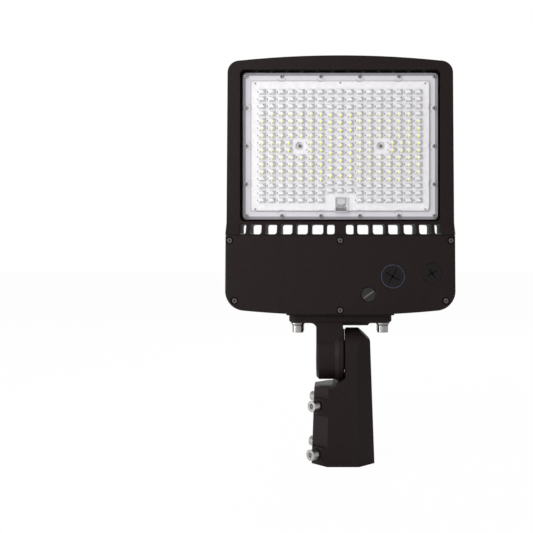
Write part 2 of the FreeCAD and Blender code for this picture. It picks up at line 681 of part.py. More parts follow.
def make_slip_fitter():
    body = new_body("fitter_casting")
    left, right = "seat_chamfer", "fitter_chamfer"
    octagon = [
        (f"{left} - fitter_half", "-fitter_half"),
        (f"fitter_half - {right}", "-fitter_half"),
        ("fitter_half", f"{right} - fitter_half"),
        ("fitter_half", f"fitter_half - {right}"),
        (f"fitter_half - {right}", "fitter_half"),
        (f"{left} - fitter_half", "fitter_half"),
        ("-fitter_half", f"fitter_half - {left}"),
        ("-fitter_half", f"{left} - fitter_half"),
    ]
    top = f"(pivot_height + {PIVOT_REACH} + 5)"
    side = "(fitter_half + 10)"
    tube = slab(body, "Pad", "tube", "XY", "0", top, [octagon])
    DOC.recompute()
    sides = [f"Face{number}" for number, face in enumerate(tube.Shape.Faces, 1) if face.BoundBox.ZLength > 1]
    draft = body.newObject("PartDesign::Draft", "tube_draft")
    draft.Base = (tube, sides)
    draft.NeutralPlane = (origin_part(body, "XY_Plane"), [""])
    draft.setExpression("Angle", bound("fitter_draft"))
    draft.Reversed = False
    ramp_foot = "(lug_face - shoulder_run)"
    shoulder = [
        (f"-{side}", "shoulder_height"),
        (ramp_foot, "shoulder_height"),
        ("lug_face", "shoulder_height + shoulder_rise"),
        ("lug_face", top),
        (f"-{side}", top),
    ]
    slab(body, "Pocket", "shoulder", "XZ", f"-{side}", side, [shoulder])
    round_end = [
        (f"-{side}", "pivot_height"),
        (f"-{PIVOT_REACH}", "pivot_height"),
        ("0", f"pivot_height + {PIVOT_REACH}"),
        (PIVOT_REACH, "pivot_height"),
        (side, "pivot_height"),
        (side, top),
        (f"-{side}", top),
    ]
    rounds = {1: PIVOT_REACH, 2: PIVOT_REACH}
    slab(body, "Pocket", "round_end", "YZ", f"-{side}", side, [round_end], arcs=rounds, inward=(1, 2))
    bevel = [
        (f"{PIVOT_REACH} - lug_bevel", f"pivot_height + {PIVOT_REACH}"),
        (f"{PIVOT_REACH} + 5", f"pivot_height + {PIVOT_REACH} - lug_bevel - 5"),
        (f"{PIVOT_REACH} + 5", top),
        (f"{PIVOT_REACH} - lug_bevel", top),
    ]
    slab(body, "Pocket", "lug_corner", "XZ", f"-{side}", side, [bevel])
    scoop = [("0", "pivot_height", "ring_radius + scoop_gap")]
    slab(body, "Pocket", "scoop", "YZ", f"-{side}", "lug_face", circles=scoop)
    socket = [("0", "pivot_height", "hub_radius + hub_gap")]
    slab(body, "Pocket", "hub_socket", "YZ", "lug_face - 1", "lug_face + hub_reach + hub_gap", circles=socket)
    seat_end = "(seat_start + seat_length)"
    diagonal_recesses = [
        diagonal_recess(body, "recess_mouth", "-5", "seat_start", True),
        diagonal_recess(body, "recess_middle", seat_end, "(seat_start + seat_pitch)", True),
        diagonal_recess(body, "recess_top", f"({seat_end[1:-1]} + seat_pitch)", top, False),
    ]
    mirrored(body, "other_corner", diagonal_recesses, "XZ")
    bore = [("0", "0", "bore_radius")]
    slab(body, "Pocket", "bore", "XY", "-1", "bore_depth", circles=bore)
    DOC.recompute()
    far = size("fitter_half") * 2
    holes = []
    for step in (0, 1):
        height = size("seat_start + seat_length / 2") + step * size("seat_pitch")
        for side_sign in (-1, 1):
            outward = Vector(-1, side_sign, 0).normalize() * far
            radius = size("bolt_radius + thread_gap")
            holes.append((radius, Vector(0, 0, height), outward))
    axis = Vector(0, 0, size("pivot_height"))
    lug_floor = size(f"{PIVOT_REACH} - counterbore_depth")
    sideways = Vector(far, 0, 0)
    holes.append((size("pivot_bolt_radius + pivot_gap"), axis, sideways))
    holes.append((size("counterbore_radius"), axis + Vector(lug_floor, 0, 0), sideways))
    drilled = without("fitter_drilled", body, drills("fitter_holes", holes))
    teeth = serration("lug_teeth", size("lug_face"), True)
    teeth.setExpression("Placement.Base.z", bound("pivot_height"))
    return finished(united("fitter_with_teeth", drilled, teeth), "slip_fitter")


def make_clamp_screws():
    """Four M8 screws across the left corners. Their tips lie flush with the bore's wall."""
    seat = "((2 * fitter_half - seat_chamfer) / sqrt(2) - tan(fitter_draft) * ({0}))"
    number = 1
    for step in (0, 1):
        height = f"(seat_start + seat_length / 2 + {step} * seat_pitch)"
        seat_reach = f"({seat.format(height)} + clamp_standoff)"
        for turn in (225, 135):
            name = f"clamp_screw_{number}"
            length = f"({seat_reach} - bore_radius)"
            bolt = socket_bolt(
                name + "_bolt",
                "bolt_radius",
                length,
                "bolt_head_radius",
                "bolt_head_height",
                "hex_radius",
                "hex_depth"
            )
            spin = Rotation(Vector(0, 0, 1), turn).multiply(Rotation(Vector(0, 1, 0), -90))
            bolt.Placement = Placement(Vector(0, 0, 0), spin)
            bolt.Label = name
            cosine, sine = math.cos(math.radians(turn)), math.sin(math.radians(turn))
            bolt.setExpression("Placement.Base.x", bound(f"{seat_reach} * {cosine:.9f}"))
            bolt.setExpression("Placement.Base.y", bound(f"{seat_reach} * {sine:.9f}"))
            bolt.setExpression("Placement.Base.z", bound(height))
            NODES.append(bolt)
            number += 1


# ---------------------------------------------------------------- arm and its fasteners


def flange_holes(radius):
    """The four bolt places of the flange, as circles in its plane."""
    for left_right in ("-", "+"):
        for front_back in ("-", "+"):
            yield (f"{left_right}arm_bolt_reach - head_shift", f"{front_back}arm_bolt_spacing / 2", radius)


def make_arm():
    body = new_body("arm_casting", up="pivot_height")
    face = TOOTH_FACE
    flange = rectangle(
        "-flange_half_width - head_shift",
        "flange_half_width - head_shift",
        "-flange_half_depth",
        "flange_half_depth",
    )
    plate = slab(body, "Pad", "flange", "XY", FLANGE_FOOT, "arm_rise", [flange])
    corners = softened(
        body, "Fillet", "flange_corners", plate, "flange_corner", lambda edge: spans(edge, "Z")
    )
    softened(
        body,
        "Chamfer",
        "flange_edge",
        corners,
        "flange_bevel",
        lambda edge: near(edge.BoundBox.ZMax, FLANGE_FOOT, 0.01),
    )
    pad_foot = f"({FLANGE_FOOT} - pad_thickness)"
    pad = [
        ("arm_right - 5", pad_foot),
        ("pad_end", pad_foot),
        ("pad_end + pad_thickness", FLANGE_FOOT),
        ("pad_end + pad_thickness", f"{FLANGE_FOOT} + 1"),
        ("arm_right - 5", f"{FLANGE_FOOT} + 1"),
    ]
    slab(body, "Pad", "flange_pad", "XZ", "-pad_half_depth", "pad_half_depth", [pad])
    neck = rectangle("-arm_left", "arm_right", "0", f"{FLANGE_FOOT} + 1")
    stem = slab(body, "Pad", "neck", "XZ", "-neck_half_depth", "neck_half_depth", [neck])
    softened(
        body,
        "Fillet",
        "neck_root",
        stem,
        "neck_fillet",
        lambda edge: spans(edge, "Y")
        and near(edge.BoundBox.XMin, "-arm_left")
        and near(edge.BoundBox.ZMin, FLANGE_FOOT),
    )
    ring_start = f"({face} - ring_width)"
    disc = [
        ("-arm_left", "0"),
        (face, "0"),
        (face, "ring_radius"),
        (ring_start, "ring_radius"),
        (f"{ring_start} - ring_cone", "drum_radius"),
        ("drum_bevel - arm_left", "drum_radius"),
        ("-arm_left", "drum_radius - drum_bevel"),
    ]
    spun(body, "disc", disc)
    hub_end = "(lug_face + hub_reach)"
    slab(body, "Pad", "hub", "YZ", f"{face} - 1", hub_end, circles=[("0", "0", "hub_radius")])
    bolt_room = "(bolt_radius + arm_bolt_room)"
    slab(
        body,
        "Pocket",
        "flange_bolt_holes",
        "XY",
        f"{FLANGE_FOOT} - 1",
        "arm_rise + 1",
        circles=flange_holes(bolt_room),
    )
    thread = [("0", "0", "(pivot_bolt_radius + thread_gap)")]
    slab(body, "Pocket", "pivot_thread", "YZ", f"{face} - pivot_thread_depth", f"{hub_end} + 1", circles=thread)
    teeth = serration("arm_teeth", size(face), False)
    teeth.setExpression("Placement.Base.z", bound("pivot_height"))
    return finished(united("arm_with_teeth", body, teeth), "arm")


def make_arm_fasteners():
    gasket_plate = block(
        "arm_gasket_plate",
        ("1 - flange_half_width", "flange_half_width - 1"),
        ("1 - flange_half_depth", "flange_half_depth - 1"),
        ("-arm_gasket_thickness", "0"),
    )
    corners = []
    for left_right in (-1, 1):
        for front_back in (-1, 1):
            corners.append((left_right * size("arm_bolt_reach"), front_back * size("arm_bolt_spacing / 2")))
    up = Vector(0, 0, size("2 * arm_gasket_thickness"))
    low = size("-1.5 * arm_gasket_thickness")
    holes = [(size("bolt_radius + arm_bolt_room"), Vector(x, y, low), up) for x, y in corners]
    gasket = without("arm_gasket_cut", gasket_plate, drills("arm_gasket_holes", holes))
    NODES.append(in_head(gasket, "arm_gasket"))

    under = size("-arm_gasket_thickness - flange_thickness")
    flat_foot = under - size("flat_washer_thickness")
    spring_foot = flat_foot - size("spring_washer_thickness")
    inner = "(bolt_radius + thread_gap)"

    disc = rod("flat_washer_disc", "flat_washer_radius", "flat_washer_thickness", ("0", "0", "0"), "+Z")
    hole = rod("flat_washer_hole", inner, "flat_washer_thickness", ("0", "0", "0"), "+Z")
    flat = copies(
        "flat_washer_group",
        without("flat_washer", disc, hole),
        shifts((x, y, flat_foot) for x, y in corners)
    )
    NODES.append(in_head(flat, "arm_flat_washers"))

    disc = rod(
        "spring_washer_disc", "spring_washer_radius", "spring_washer_thickness", ("0", "0", "0"), "+Z"
    )
    hole = rod("spring_washer_hole", inner, "spring_washer_thickness", ("0", "0", "0"), "+Z")
    split = block(
        "spring_washer_slit",
        ("0", "spring_washer_radius + 1"),
        ("-spring_washer_split / 2", "spring_washer_split / 2"),
        ("0", "spring_washer_thickness"),
    )
    coil = without("spring_washer", disc, joined("spring_washer_room", [hole, split]))
    spring = copies("spring_washer_group", coil, shifts((x, y, spring_foot) for x, y in corners))
    NODES.append(in_head(spring, "arm_spring_washers"))

    bolt = socket_bolt(
        "arm_bolt",
        "bolt_radius",
        "arm_bolt_length",
        "bolt_head_radius",
        "bolt_head_height",
        "hex_radius",
        "hex_depth"
    )
    group = copies("arm_bolt_group", bolt, shifts((x, y, spring_foot) for x, y in corners))
    NODES.append(in_head(group, "arm_bolts"))


def make_pivot_bolt():
    """The bolt that draws the knuckle together, from the right through the lug into the disc."""
    lug_floor = f"({PIVOT_REACH} - counterbore_depth)"
    seat = f"({lug_floor} + pivot_washer_thickness)"
    length = f"({seat} - {TOOTH_FACE} + pivot_thread_depth - 2)"
    bolt = socket_bolt(
        "pivot_screw",
        "pivot_bolt_radius",
        length,
        "pivot_head_radius",
        "pivot_head_height",
        "hex_radius * 1.33",
        "hex_depth",
    )
    bolt.Placement = Placement(Vector(0, 0, 0), TURNS["-X"])
    bolt.Label = "pivot_bolt"
    bolt.setExpression("Placement.Base.x", bound(seat))
    bolt.setExpression("Placement.Base.z", bound("pivot_height"))
    NODES.append(bolt)
    disc = rod(
        "pivot_washer_disc", "pivot_washer_radius", "pivot_washer_thickness", (lug_floor, "0", "0"), "+X"
    )
    hole = rod(
        "pivot_washer_hole",
        "pivot_bolt_radius + thread_gap",
        "pivot_washer_thickness",
        (lug_floor, "0", "0"),
        "+X"
    )
    NODES.append(finished(without("pivot_washer_cut", disc, hole), "pivot_washer", up="pivot_height"))


# ---------------------------------------------------------------- head casting


def head_half_at(height):
    """Half the width of the head at a height between its corners."""
    slope = f"(foot_half - peak_half) / ({PEAK_SIDE} - {FOOT_SIDE})"
    return f"(foot_half - {slope} * ({height} - {FOOT_SIDE}))"


def shoebox_slab(name, inset, low, high, top):
    """A plate with the foot's outline, this far inside the head's sides, up to the height top."""
    body = new_body(name)
    half, top_half = f"(foot_half - {inset})", head_half_at(top)
    outline = [
        (f"-{half}", f"{FOOT_SIDE} + {inset}"),
        (half, f"{FOOT_SIDE} + {inset}"),
        (f"{top_half} - {inset}", top),
        (f"{inset} - {top_half}", top),
    ]
    plate = slab(body, "Pad", name + "_plate", "XZ", low, high, [outline], arcs={0: FOOT_ARC})

    def foot_edge(edge):
        return spans(edge, "Y") and edge.BoundBox.ZMax < size("door_height / 2")

    corners = softened(body, "Fillet", name + "_corners", plate, f"foot_corner - {inset}", foot_edge)
    return body, corners


def door_screw_rods(name, radius, start, length):
    """Bosses for the door's screws."""
    places = (
        ("-door_upper_reach", "door_upper_height"),
        ("0", "door_upper_height"),
        ("door_upper_reach", "door_upper_height"),
        ("-door_lower_reach", "door_lower_height"),
        ("door_lower_reach", "door_lower_height"),
        ("0", "door_foot_height"),
    )
    rods = []
    for number, (across, up) in enumerate(places):
        rods.append(rod(f"{name}_{number}", radius, length, (across, start, up), "+Y"))
    return rods


def door_screw_places():
    upper, lower = size("door_upper_reach"), size("door_lower_reach")
    high, low = size("door_upper_height"), size("door_lower_height")
    return [
        (-upper, high),
        (0, high),
        (upper, high),
        (-lower, low),
        (lower, low),
        (0, size("door_foot_height")),
    ]


def lens_screw_places():
    """Eighteen edge screws, then the two inner ones."""
    middle = size(WINDOW_MIDDLE)
    reach = size(f"{LENS_HALF_WIDTH} - lens_screw_inset")
    rise = size(f"{LENS_HALF_HEIGHT} - lens_screw_inset")
    step_across, step_up = size("lens_screw_step_across"), size("lens_screw_step_up")
    edge = []
    for up in (-rise, rise):
        for column in (-1.5, -0.5, 0.5, 1.5):
            edge.append((column * step_across, middle + up))
        edge.append((-reach, middle + up))
        edge.append((reach, middle + up))
    for across in (-reach, reach):
        for line in (-1, 0, 1):
            edge.append((across, middle + line * step_up))
    inner = [(-size("inner_screw_reach"), middle), (size("inner_screw_reach"), middle)]
    return edge, inner


def chassis_screw_places():
    """The ears of the driver, the surge protector and the terminal block: (across, up)."""
    half_ear = size("ear_length / 2")
    places = []
    for name, spread in (("driver", 0.3), ("surge", 0.0), ("terminal", 0.0)):
        left = size(f"{name}_left")
        right = left + size(f"{name}_width")
        middle = size(f"{name}_foot + {name}_height / 2")
        offsets = (-spread, spread) if spread else (0,)
        for offset in offsets:
            up = middle + offset * size(f"{name}_height")
            places.append((left - half_ear, up))
            places.append((right + half_ear, up))
    return places


def make_housing():
    body = new_body("housing_casting")
    side = "(foot_half + 10)"
    outline = [
        ("-foot_half", FOOT_SIDE),
        ("foot_half", FOOT_SIDE),
        ("peak_half", PEAK_SIDE),
        ("-peak_half", PEAK_SIDE),
    ]
    arcs = {0: FOOT_ARC, 2: PEAK_ARC}
    blank = slab(body, "Pad", "blank", "XZ", "door_front", "box_back", [outline], arcs=arcs)

    def corner(edge, low):
        return spans(edge, "Y") and (edge.BoundBox.ZMax < size("head_height / 2")) == low

    foot = softened(body, "Fillet", "foot_corners", blank, "foot_corner", lambda edge: corner(edge, True))
    softened(body, "Fillet", "peak_corners", foot, "peak_corner", lambda edge: corner(edge, False))
    front_step = [
        ("door_front - 5", RAMP_FOOT),
        ("door_front", RAMP_FOOT),
        ("frame_front", RAMP_TOP),
        ("frame_front", "head_height + 5"),
        ("door_front - 5", "head_height + 5"),
    ]
    slab(body, "Pocket", "front_step", "YZ", f"-{side}", side, [front_step])
    door_seat = rectangle("door_front - 5", "rim_front", "-5", RAMP_FOOT)
    slab(body, "Pocket", "door_seat", "YZ", f"-{side}", side, [door_seat])
    back_slope = [
        ("box_back", "box_shoulder"),
        ("box_back + 5", "box_shoulder"),
        ("box_back + 5", "head_height + 5"),
        ("fin_peak", "head_height + 5"),
        ("fin_peak", "head_height"),
        ("fin_foot", "box_shoulder + box_shoulder_rise"),
    ]
    sloped = slab(body, "Pocket", "back_slope", "YZ", f"-{side}", side, [back_slope])
    softened(body, "Fillet", "box_edge", sloped, "box_round", back_edge)
    window_top = "(window_foot + window_height)"
    window = slab(
        body,
        "Pocket",
        "window",
        "XZ",
        "frame_front - 1",
        "floor_front",
        [rectangle("-window_half", "window_half", "window_foot", window_top)],
    )
    softened(
        body,
        "Fillet",
        "window_corners",
        window,
        "window_corner",
        lambda edge: spans(edge, "Y") and near(edge.BoundBox.YMax, "floor_front"),
    )
    channel = rectangle(
        "fin_thickness / 2",
        "fin_pitch - fin_thickness / 2",
        "fin_low",
        "head_height - head_crown - fin_end",
    )
    channel = slab(body, "Pocket", "channel", "XZ", "floor_back", "box_back + 1", [channel])
    row_and_mirror(body, "channels", channel, "fin_pitch", "fin_count")
    make_vents(body)
    notch = rectangle(
        "fin_pitch - notch_width / 2",
        "fin_pitch + notch_width / 2",
        f"{window_top} - notch_height",
        window_top,
    )
    notch = slab(body, "Pocket", "notch", "XZ", "frame_front", "fin_peak", [notch])
    row_and_mirror(body, "notches", notch, "2 * fin_pitch", "6")
    land = rectangle("-land_half_width", "land_half_width", "0", "land_height + box_wall")
    slab(body, "Pad", "arm_land", "XZ", "-land_half_depth", "land_half_depth", [land])
    duct = rectangle("-duct_half", "duct_half", "fin_low - 5", "duct_top")
    slab(body, "Pad", "duct", "XZ", "floor_front + 1", "duct_back", [duct])
    cavity = shoebox_slab("cavity", "box_wall", "rim_front - 1", CAVITY_BACK, CAVITY_TOP)[0]
    blocks = [
        block(
            f"bolt_block_{side}",
            reach,
            ("-block_half_depth", "block_half_depth"),
            ("land_height + 1", "block_height"),
        )
        for side, reach in (("right", ("block_low", "block_high")), ("left", ("-block_high", "-block_low")))
    ]
    bosses = door_screw_rods("box_boss", "door_boss_radius", "rim_front", "door_boss_depth")
    room = without("box_room", cavity, joined("box_fittings", [*blocks, *bosses]))
    openings = joined("housing_openings", [room, drills("housing_holes", housing_holes())])
    return in_head(without("housing_opened", body, openings), "housing")


def back_edge(edge):
    """The outer edge of the driver box's flat back."""
    box = edge.BoundBox
    flat = near(box.YMin, "box_back", 0.01) and near(box.YMax, "box_back", 0.01)
    return flat and not near(box.ZMin, "box_shoulder", 0.5)


def make_vents(body):
    """Fourteen vents through the ramp. The webs between them lie on every second fin."""
    low, high = "vent_foot", "(vent_foot + vent_height)"
    span = ("door_front - 1", "box_back")
    arcs = arcs_of("vent_corner")
    inner = rounded_corners("vent_middle", "(2 * fin_pitch - vent_web / 2)", low, high, "vent_corner")
    outer = rounded_corners("(12 * fin_pitch + vent_web / 2)", "vent_reach", low, high, "vent_corner")
    ends = slab(body, "Pocket", "end_vents", "XZ", *span, [inner, outer], arcs=arcs)
    mirrored(body, "end_vents_flip", [ends], "YZ")
    left, right = "(2 * fin_pitch + vent_web / 2)", "(4 * fin_pitch - vent_web / 2)"
    vent = rounded_corners(left, right, low, high, "vent_corner")
    vent = slab(body, "Pocket", "vent", "XZ", *span, [vent], arcs=arcs)
    row_and_mirror(body, "vents", vent, "2 * fin_pitch", "5")


def housing_holes():
    """Threads for the door, lens, chassis and arm screws, and the bore for the leads."""
    holes = []
    rim = size("rim_front")
    for across, up in door_screw_places():
        start = Vector(across, rim - 1, up)
        holes.append(
            (size("door_screw_radius + thread_gap"), start, Vector(0, size("door_boss_depth - 2"), 0))
        )
    back = size(CAVITY_BACK)
    for across, up in chassis_screw_places():
        start = Vector(across, back - 1, up)
        grip = Vector(0, size("chassis_screw_grip") + 1.3, 0)
        holes.append((size("chassis_screw_radius + thread_gap"), start, grip))
    floor = size("floor_front")
    through = Vector(0, size("floor_back - floor_front") + 2, 0)
    edge, inner = lens_screw_places()
    for across, up in edge + inner:
        holes.append((size("lens_screw_radius + thread_gap"), Vector(across, floor - 1, up), through))
    for across in (-size("arm_bolt_reach"), size("arm_bolt_reach")):
        for depth in (-size("arm_bolt_spacing / 2"), size("arm_bolt_spacing / 2")):
            start = Vector(across, depth, -1)
            holes.append((size("bolt_radius + thread_gap"), start, Vector(0, 0, size("block_thread") + 1)))
    depth = size("duct_depth")
    top = size("lead_hole_height + duct_radius")
    low = size(f"{CAVITY_TOP} - 1")
    across = size("viewport_across")
    holes.append((size("duct_radius"), Vector(across, depth, low), Vector(0, 0, top - low)))
    start = Vector(across, floor - 1, size("lead_hole_height"))
    holes.append((size("lead_hole_radius"), start, Vector(0, depth - floor + 1, 0)))
    return holes


# ---------------------------------------------------------------- door, plugs and selector


def door_fittings():
    """The plug openings of the door: place, bore and recess radius."""
    return (
        (
            "large_plug_across",
            "large_plug_height",
            "large_plug_thread + thread_gap",
            "large_plug_radius + plug_room",
        ),
        (
            "small_plug_across",
            "small_plug_height",
            "small_plug_thread + thread_gap",
            "small_plug_radius + plug_room",
        ),
    )


def make_door():
    body, corners = shoebox_slab("door_cover", "0", "door_front", DOOR_BACK, "door_height")

    def front_edge(edge):
        box = edge.BoundBox
        front = near(box.YMin, "door_front", 0.01) and near(box.YMax, "door_front", 0.01)
        return front and not near(box.ZMin, "door_height", 0.5)

    softened(body, "Fillet", "door_edge", corners, "edge_round", front_edge)
    inside, corners = shoebox_slab(
        "door_inside", "door_wall", DOOR_INSIDE, f"{DOOR_BACK} + 1", "(door_height - door_wall)"
    )
    bosses = door_screw_rods(
        "door_boss", "door_boss_radius", f"{DOOR_INSIDE} - 1", f"{DOOR_BACK} - {DOOR_INSIDE} + 1"
    )
    collars = []
    for name in ("large_plug", "small_plug"):
        start = (f"{name}_across", f"{DOOR_INSIDE} - 1", f"{name}_height")
        collars.append(
            rod(name + "_collar", f"{name}_thread + plug_collar", "plug_collar_depth + 1", start, "+Y")
        )
    start = ("knob_across", f"{DOOR_INSIDE} - 1", "knob_height")
    reach = f"{KNOB_BACK} - {DOOR_INSIDE} + 1"
    collars.append(rod("knob_collar_ring", "knob_recess + knob_collar", reach, start, "+Y"))
    filled = joined("door_filled", [without("door_hollow", body, inside), *bosses, *collars])
    return in_head(without("door_drilled", filled, drills("door_holes", door_holes())), "door")


def door_holes():
    """Stepped holes for the screws, the plugs and the knob."""
    front = size("door_front") - 1
    through = Vector(0, 20, 0)
    recess = Vector(0, size("door_screw_sink + door_screw_head_height") + 1, 0)
    holes = []
    for across, up in door_screw_places():
        start = Vector(across, front, up)
        holes.append((size("door_screw_recess"), start, recess))
        holes.append((size("door_screw_radius") + 0.2, start, through))
    recess = Vector(0, size("plug_head + plug_seal") + 1, 0)
    for across, up, bore, head in door_fittings():
        start = Vector(size(across), front, size(up))
        holes.append((size(head), start, recess))
        holes.append((size(bore), start, through))
    start = Vector(size("knob_across"), front, size("knob_height"))
    holes.append((size("knob_recess"), start, Vector(0, size("knob_recess_depth") + 1, 0)))
    holes.append((size("knob_radius + knob_gap"), start, through))
    return holes


def make_door_gasket():
    """A flat ring between the rim of the box and the door."""
    inset = "door_gasket_inset"
    outer, corners = shoebox_slab(
        "gasket_outside", inset, DOOR_BACK, "rim_front", f"(door_height - {inset})"
    )
    inset = "(door_gasket_inset + door_gasket_width)"
    top = f"(door_height - {inset})"
    inner = shoebox_slab("gasket_inside", inset, f"{DOOR_BACK} - 1", "rim_front + 1", top)[0]
    return in_head(without("gasket_ring", outer, inner), "door_gasket")


def make_door_screws():
    screw = pan_screw(
        "door_screw", "door_screw_radius", "door_screw_length", "door_screw_head", "door_screw_head_height"
    )
    seat = size("door_front + door_screw_sink + door_screw_head_height")
    places = shifts((across, seat, up) for across, up in door_screw_places())
    return in_head(copies("door_screw_group", screw, places), "door_screws")


def make_plug(name):
    """A threaded plug with a cross recess in its head, and its flat seal."""
    across, up = f"{name}_across", f"{name}_height"
    front = ("door_front", f"{name}_radius", f"{name}_thread")
    centre = (across, front[0], up)
    head = rod(name + "_head", front[1], "plug_head", centre, "+Y")
    shank = rod(name + "_shank", front[2], "plug_length", centre, "+Y")
    bars = []
    for quarter in (0, 90):
        bar = DOC.addObject("Part::Box", f"{name}_bar_{quarter}")
        bar.setExpression("Length", bound(f"2 * {name}_cross"))
        bar.setExpression("Width", bound("cross_depth"))
        bar.setExpression("Height", bound("cross_width"))
        angle = f"({name}_turn + {quarter})"
        bar.Placement = Placement(Vector(0, 0, 0), Rotation(Vector(0, -1, 0), 1))
        bar.setExpression("Placement.Rotation.Angle", bound(angle))
        back_x = f"-{name}_cross * cos({angle}) + cross_width / 2 * sin({angle})"
        back_z = f"-{name}_cross * sin({angle}) - cross_width / 2 * cos({angle})"
        bar.setExpression("Placement.Base.x", bound(f"{across} + {back_x}"))
        bar.setExpression("Placement.Base.y", bound("door_front"))
        bar.setExpression("Placement.Base.z", bound(f"{up} + {back_z}"))
        bars.append(bar)
    blank = joined(name + "_blank", [head, shank])
    plug = without(name + "_cut", blank, joined(name + "_recess", bars))
    NODES.append(in_head(plug, "plug_" + name.split("_")[0]))
    seat = (across, "door_front + plug_head", up)
    ring = rod(name + "_seal_ring", f"{front[1]} - 0.8", "plug_seal", seat, "+Y")
    hole = rod(name + "_seal_hole", f"{front[2]} + 0.2", "plug_seal", seat, "+Y")
    NODES.append(in_head(without(name + "_seal_cut", ring, hole), f"plug_{name.split('_')[0]}_seal"))


def make_selector():
    centre = ("knob_across", KNOB_FRONT, "knob_height")
    cap = rod("knob_cap", "knob_radius", "knob_length", centre, "+Y")
    back = ("knob_across", KNOB_BACK, "knob_height")
    shaft = rod("knob_spindle", "knob_shaft", "knob_seal + knob_shaft_length", back, "+Y")
    slot = DOC.addObject("Part::Box", "knob_slot_bar")
    slot.setExpression("Length", bound("2 * knob_radius + 2"))
    slot.setExpression("Width", bound("knob_slot_depth"))
    slot.setExpression("Height", bound("knob_slot"))
    slot.Placement = Placement(Vector(0, 0, 0), Rotation(Vector(0, -1, 0), 1))
    slot.setExpression("Placement.Rotation.Angle", bound("knob_turn"))
    reach = "(knob_radius + 1)"
    slot.setExpression(
        "Placement.Base.x", bound(f"knob_across - {reach} * cos(knob_turn) + knob_slot / 2 * sin(knob_turn)")
    )
    slot.setExpression("Placement.Base.y", bound(KNOB_FRONT))
    slot.setExpression(
        "Placement.Base.z", bound(f"knob_height - {reach} * sin(knob_turn) - knob_slot / 2 * cos(knob_turn)")
    )
    knob = without("knob_cut", joined("knob_blank", [cap, shaft]), slot)
    NODES.append(in_head(knob, "selector_knob"))

    ring = rod("selector_seal_ring", "knob_recess + knob_collar", "knob_seal", back, "+Y")
    hole = rod("selector_seal_hole", "knob_radius + knob_gap", "knob_seal", back, "+Y")
    NODES.append(in_head(without("selector_seal_cut", ring, hole), "selector_seal"))

    front = f"({KNOB_BACK} + knob_seal)"
    case = block(
        "switch_case",
        ("knob_across - switch_half", "knob_across + switch_half"),
        (front, f"{front} + switch_depth"),
        ("knob_height - switch_half", "knob_height + switch_half"),
    )
    bore = rod(
        "switch_bore",
        "knob_shaft + thread_gap",
        "knob_shaft_length + 1",
        ("knob_across", front, "knob_height"),
        "+Y",
    )
    NODES.append(in_head(without("switch_cut", case, bore), "selector_switch"))


# ---------------------------------------------------------------- lens plate and circuit board


def cell_places():
    """Where the optics and the LEDs under them lie: (across, up), 262 in all."""
    pitch, rise = size("cell_pitch_across"), size("cell_pitch_up")
    middle = size(WINDOW_MIDDLE)
    top = middle + 7.5 * rise
    near_shift, next_shift = size("cell_shift_near"), size("cell_shift_next")
    places = []
    for column in range(2, 9):
        for line in range(16):
            across = column * pitch
            if line in (7, 8):
                if column == 4:
                    continue
                across += {5: next_shift, 6: near_shift}.get(column, 0)
            for side in (-1, 1):
                places.append((side * across, top - line * rise))
    for column in (-1, 0, 1):
        for line in range(14):
            places.append((column * pitch, top - line * size("cell_pitch_middle")))
    return places


def make_lens_cells():
    """The optics as flat-sided domes, standing a little inside the plate."""
    face = size(LENS_FACE)
    buried = 0.5
    half = Vector(size("cell_width / 2"), 0, size("cell_height / 2"))
    share = size("cell_top")
    slope = (1 - share) / size("cell_rise")
    ends = []
    for depth in (buried, -size("cell_rise")):
        scale = 1 + slope * depth
        ends.append([Vector(x * half.x * scale, face + depth, z * half.z * scale) for x, z in SQUARE])
    dome = prismoid(*ends)
    cells = DOC.addObject("Part::Feature", "lens_cells")
    cells.Shape = Part.makeCompound([dome.translated(Vector(across, 0, up)) for across, up in cell_places()])
    return cells


SQUARE = ((-1, -1), (1, -1), (1, 1), (-1, 1))


def rounded_rectangle(body, kind, name, half_width, half_height, low, high, corner):
    """A slab with rounded corners round the middle of the window."""
    outline = rectangle(
        f"-{half_width}",
        half_width,
        f"{WINDOW_MIDDLE} - {half_height}",
        f"{WINDOW_MIDDLE} + {half_height}",
    )
    feature = slab(body, kind, name, "XZ", low, high, [outline])

    def own_corner(edge):
        box = edge.BoundBox
        return (
            spans(edge, "Y")
            and abs(abs(box.XMin) - size(half_width)) < 0.05
            and abs(abs(box.ZMin - size(WINDOW_MIDDLE)) - size(half_height)) < 0.05
        )

    return softened(body, "Fillet", name + "_corners", feature, corner, own_corner)


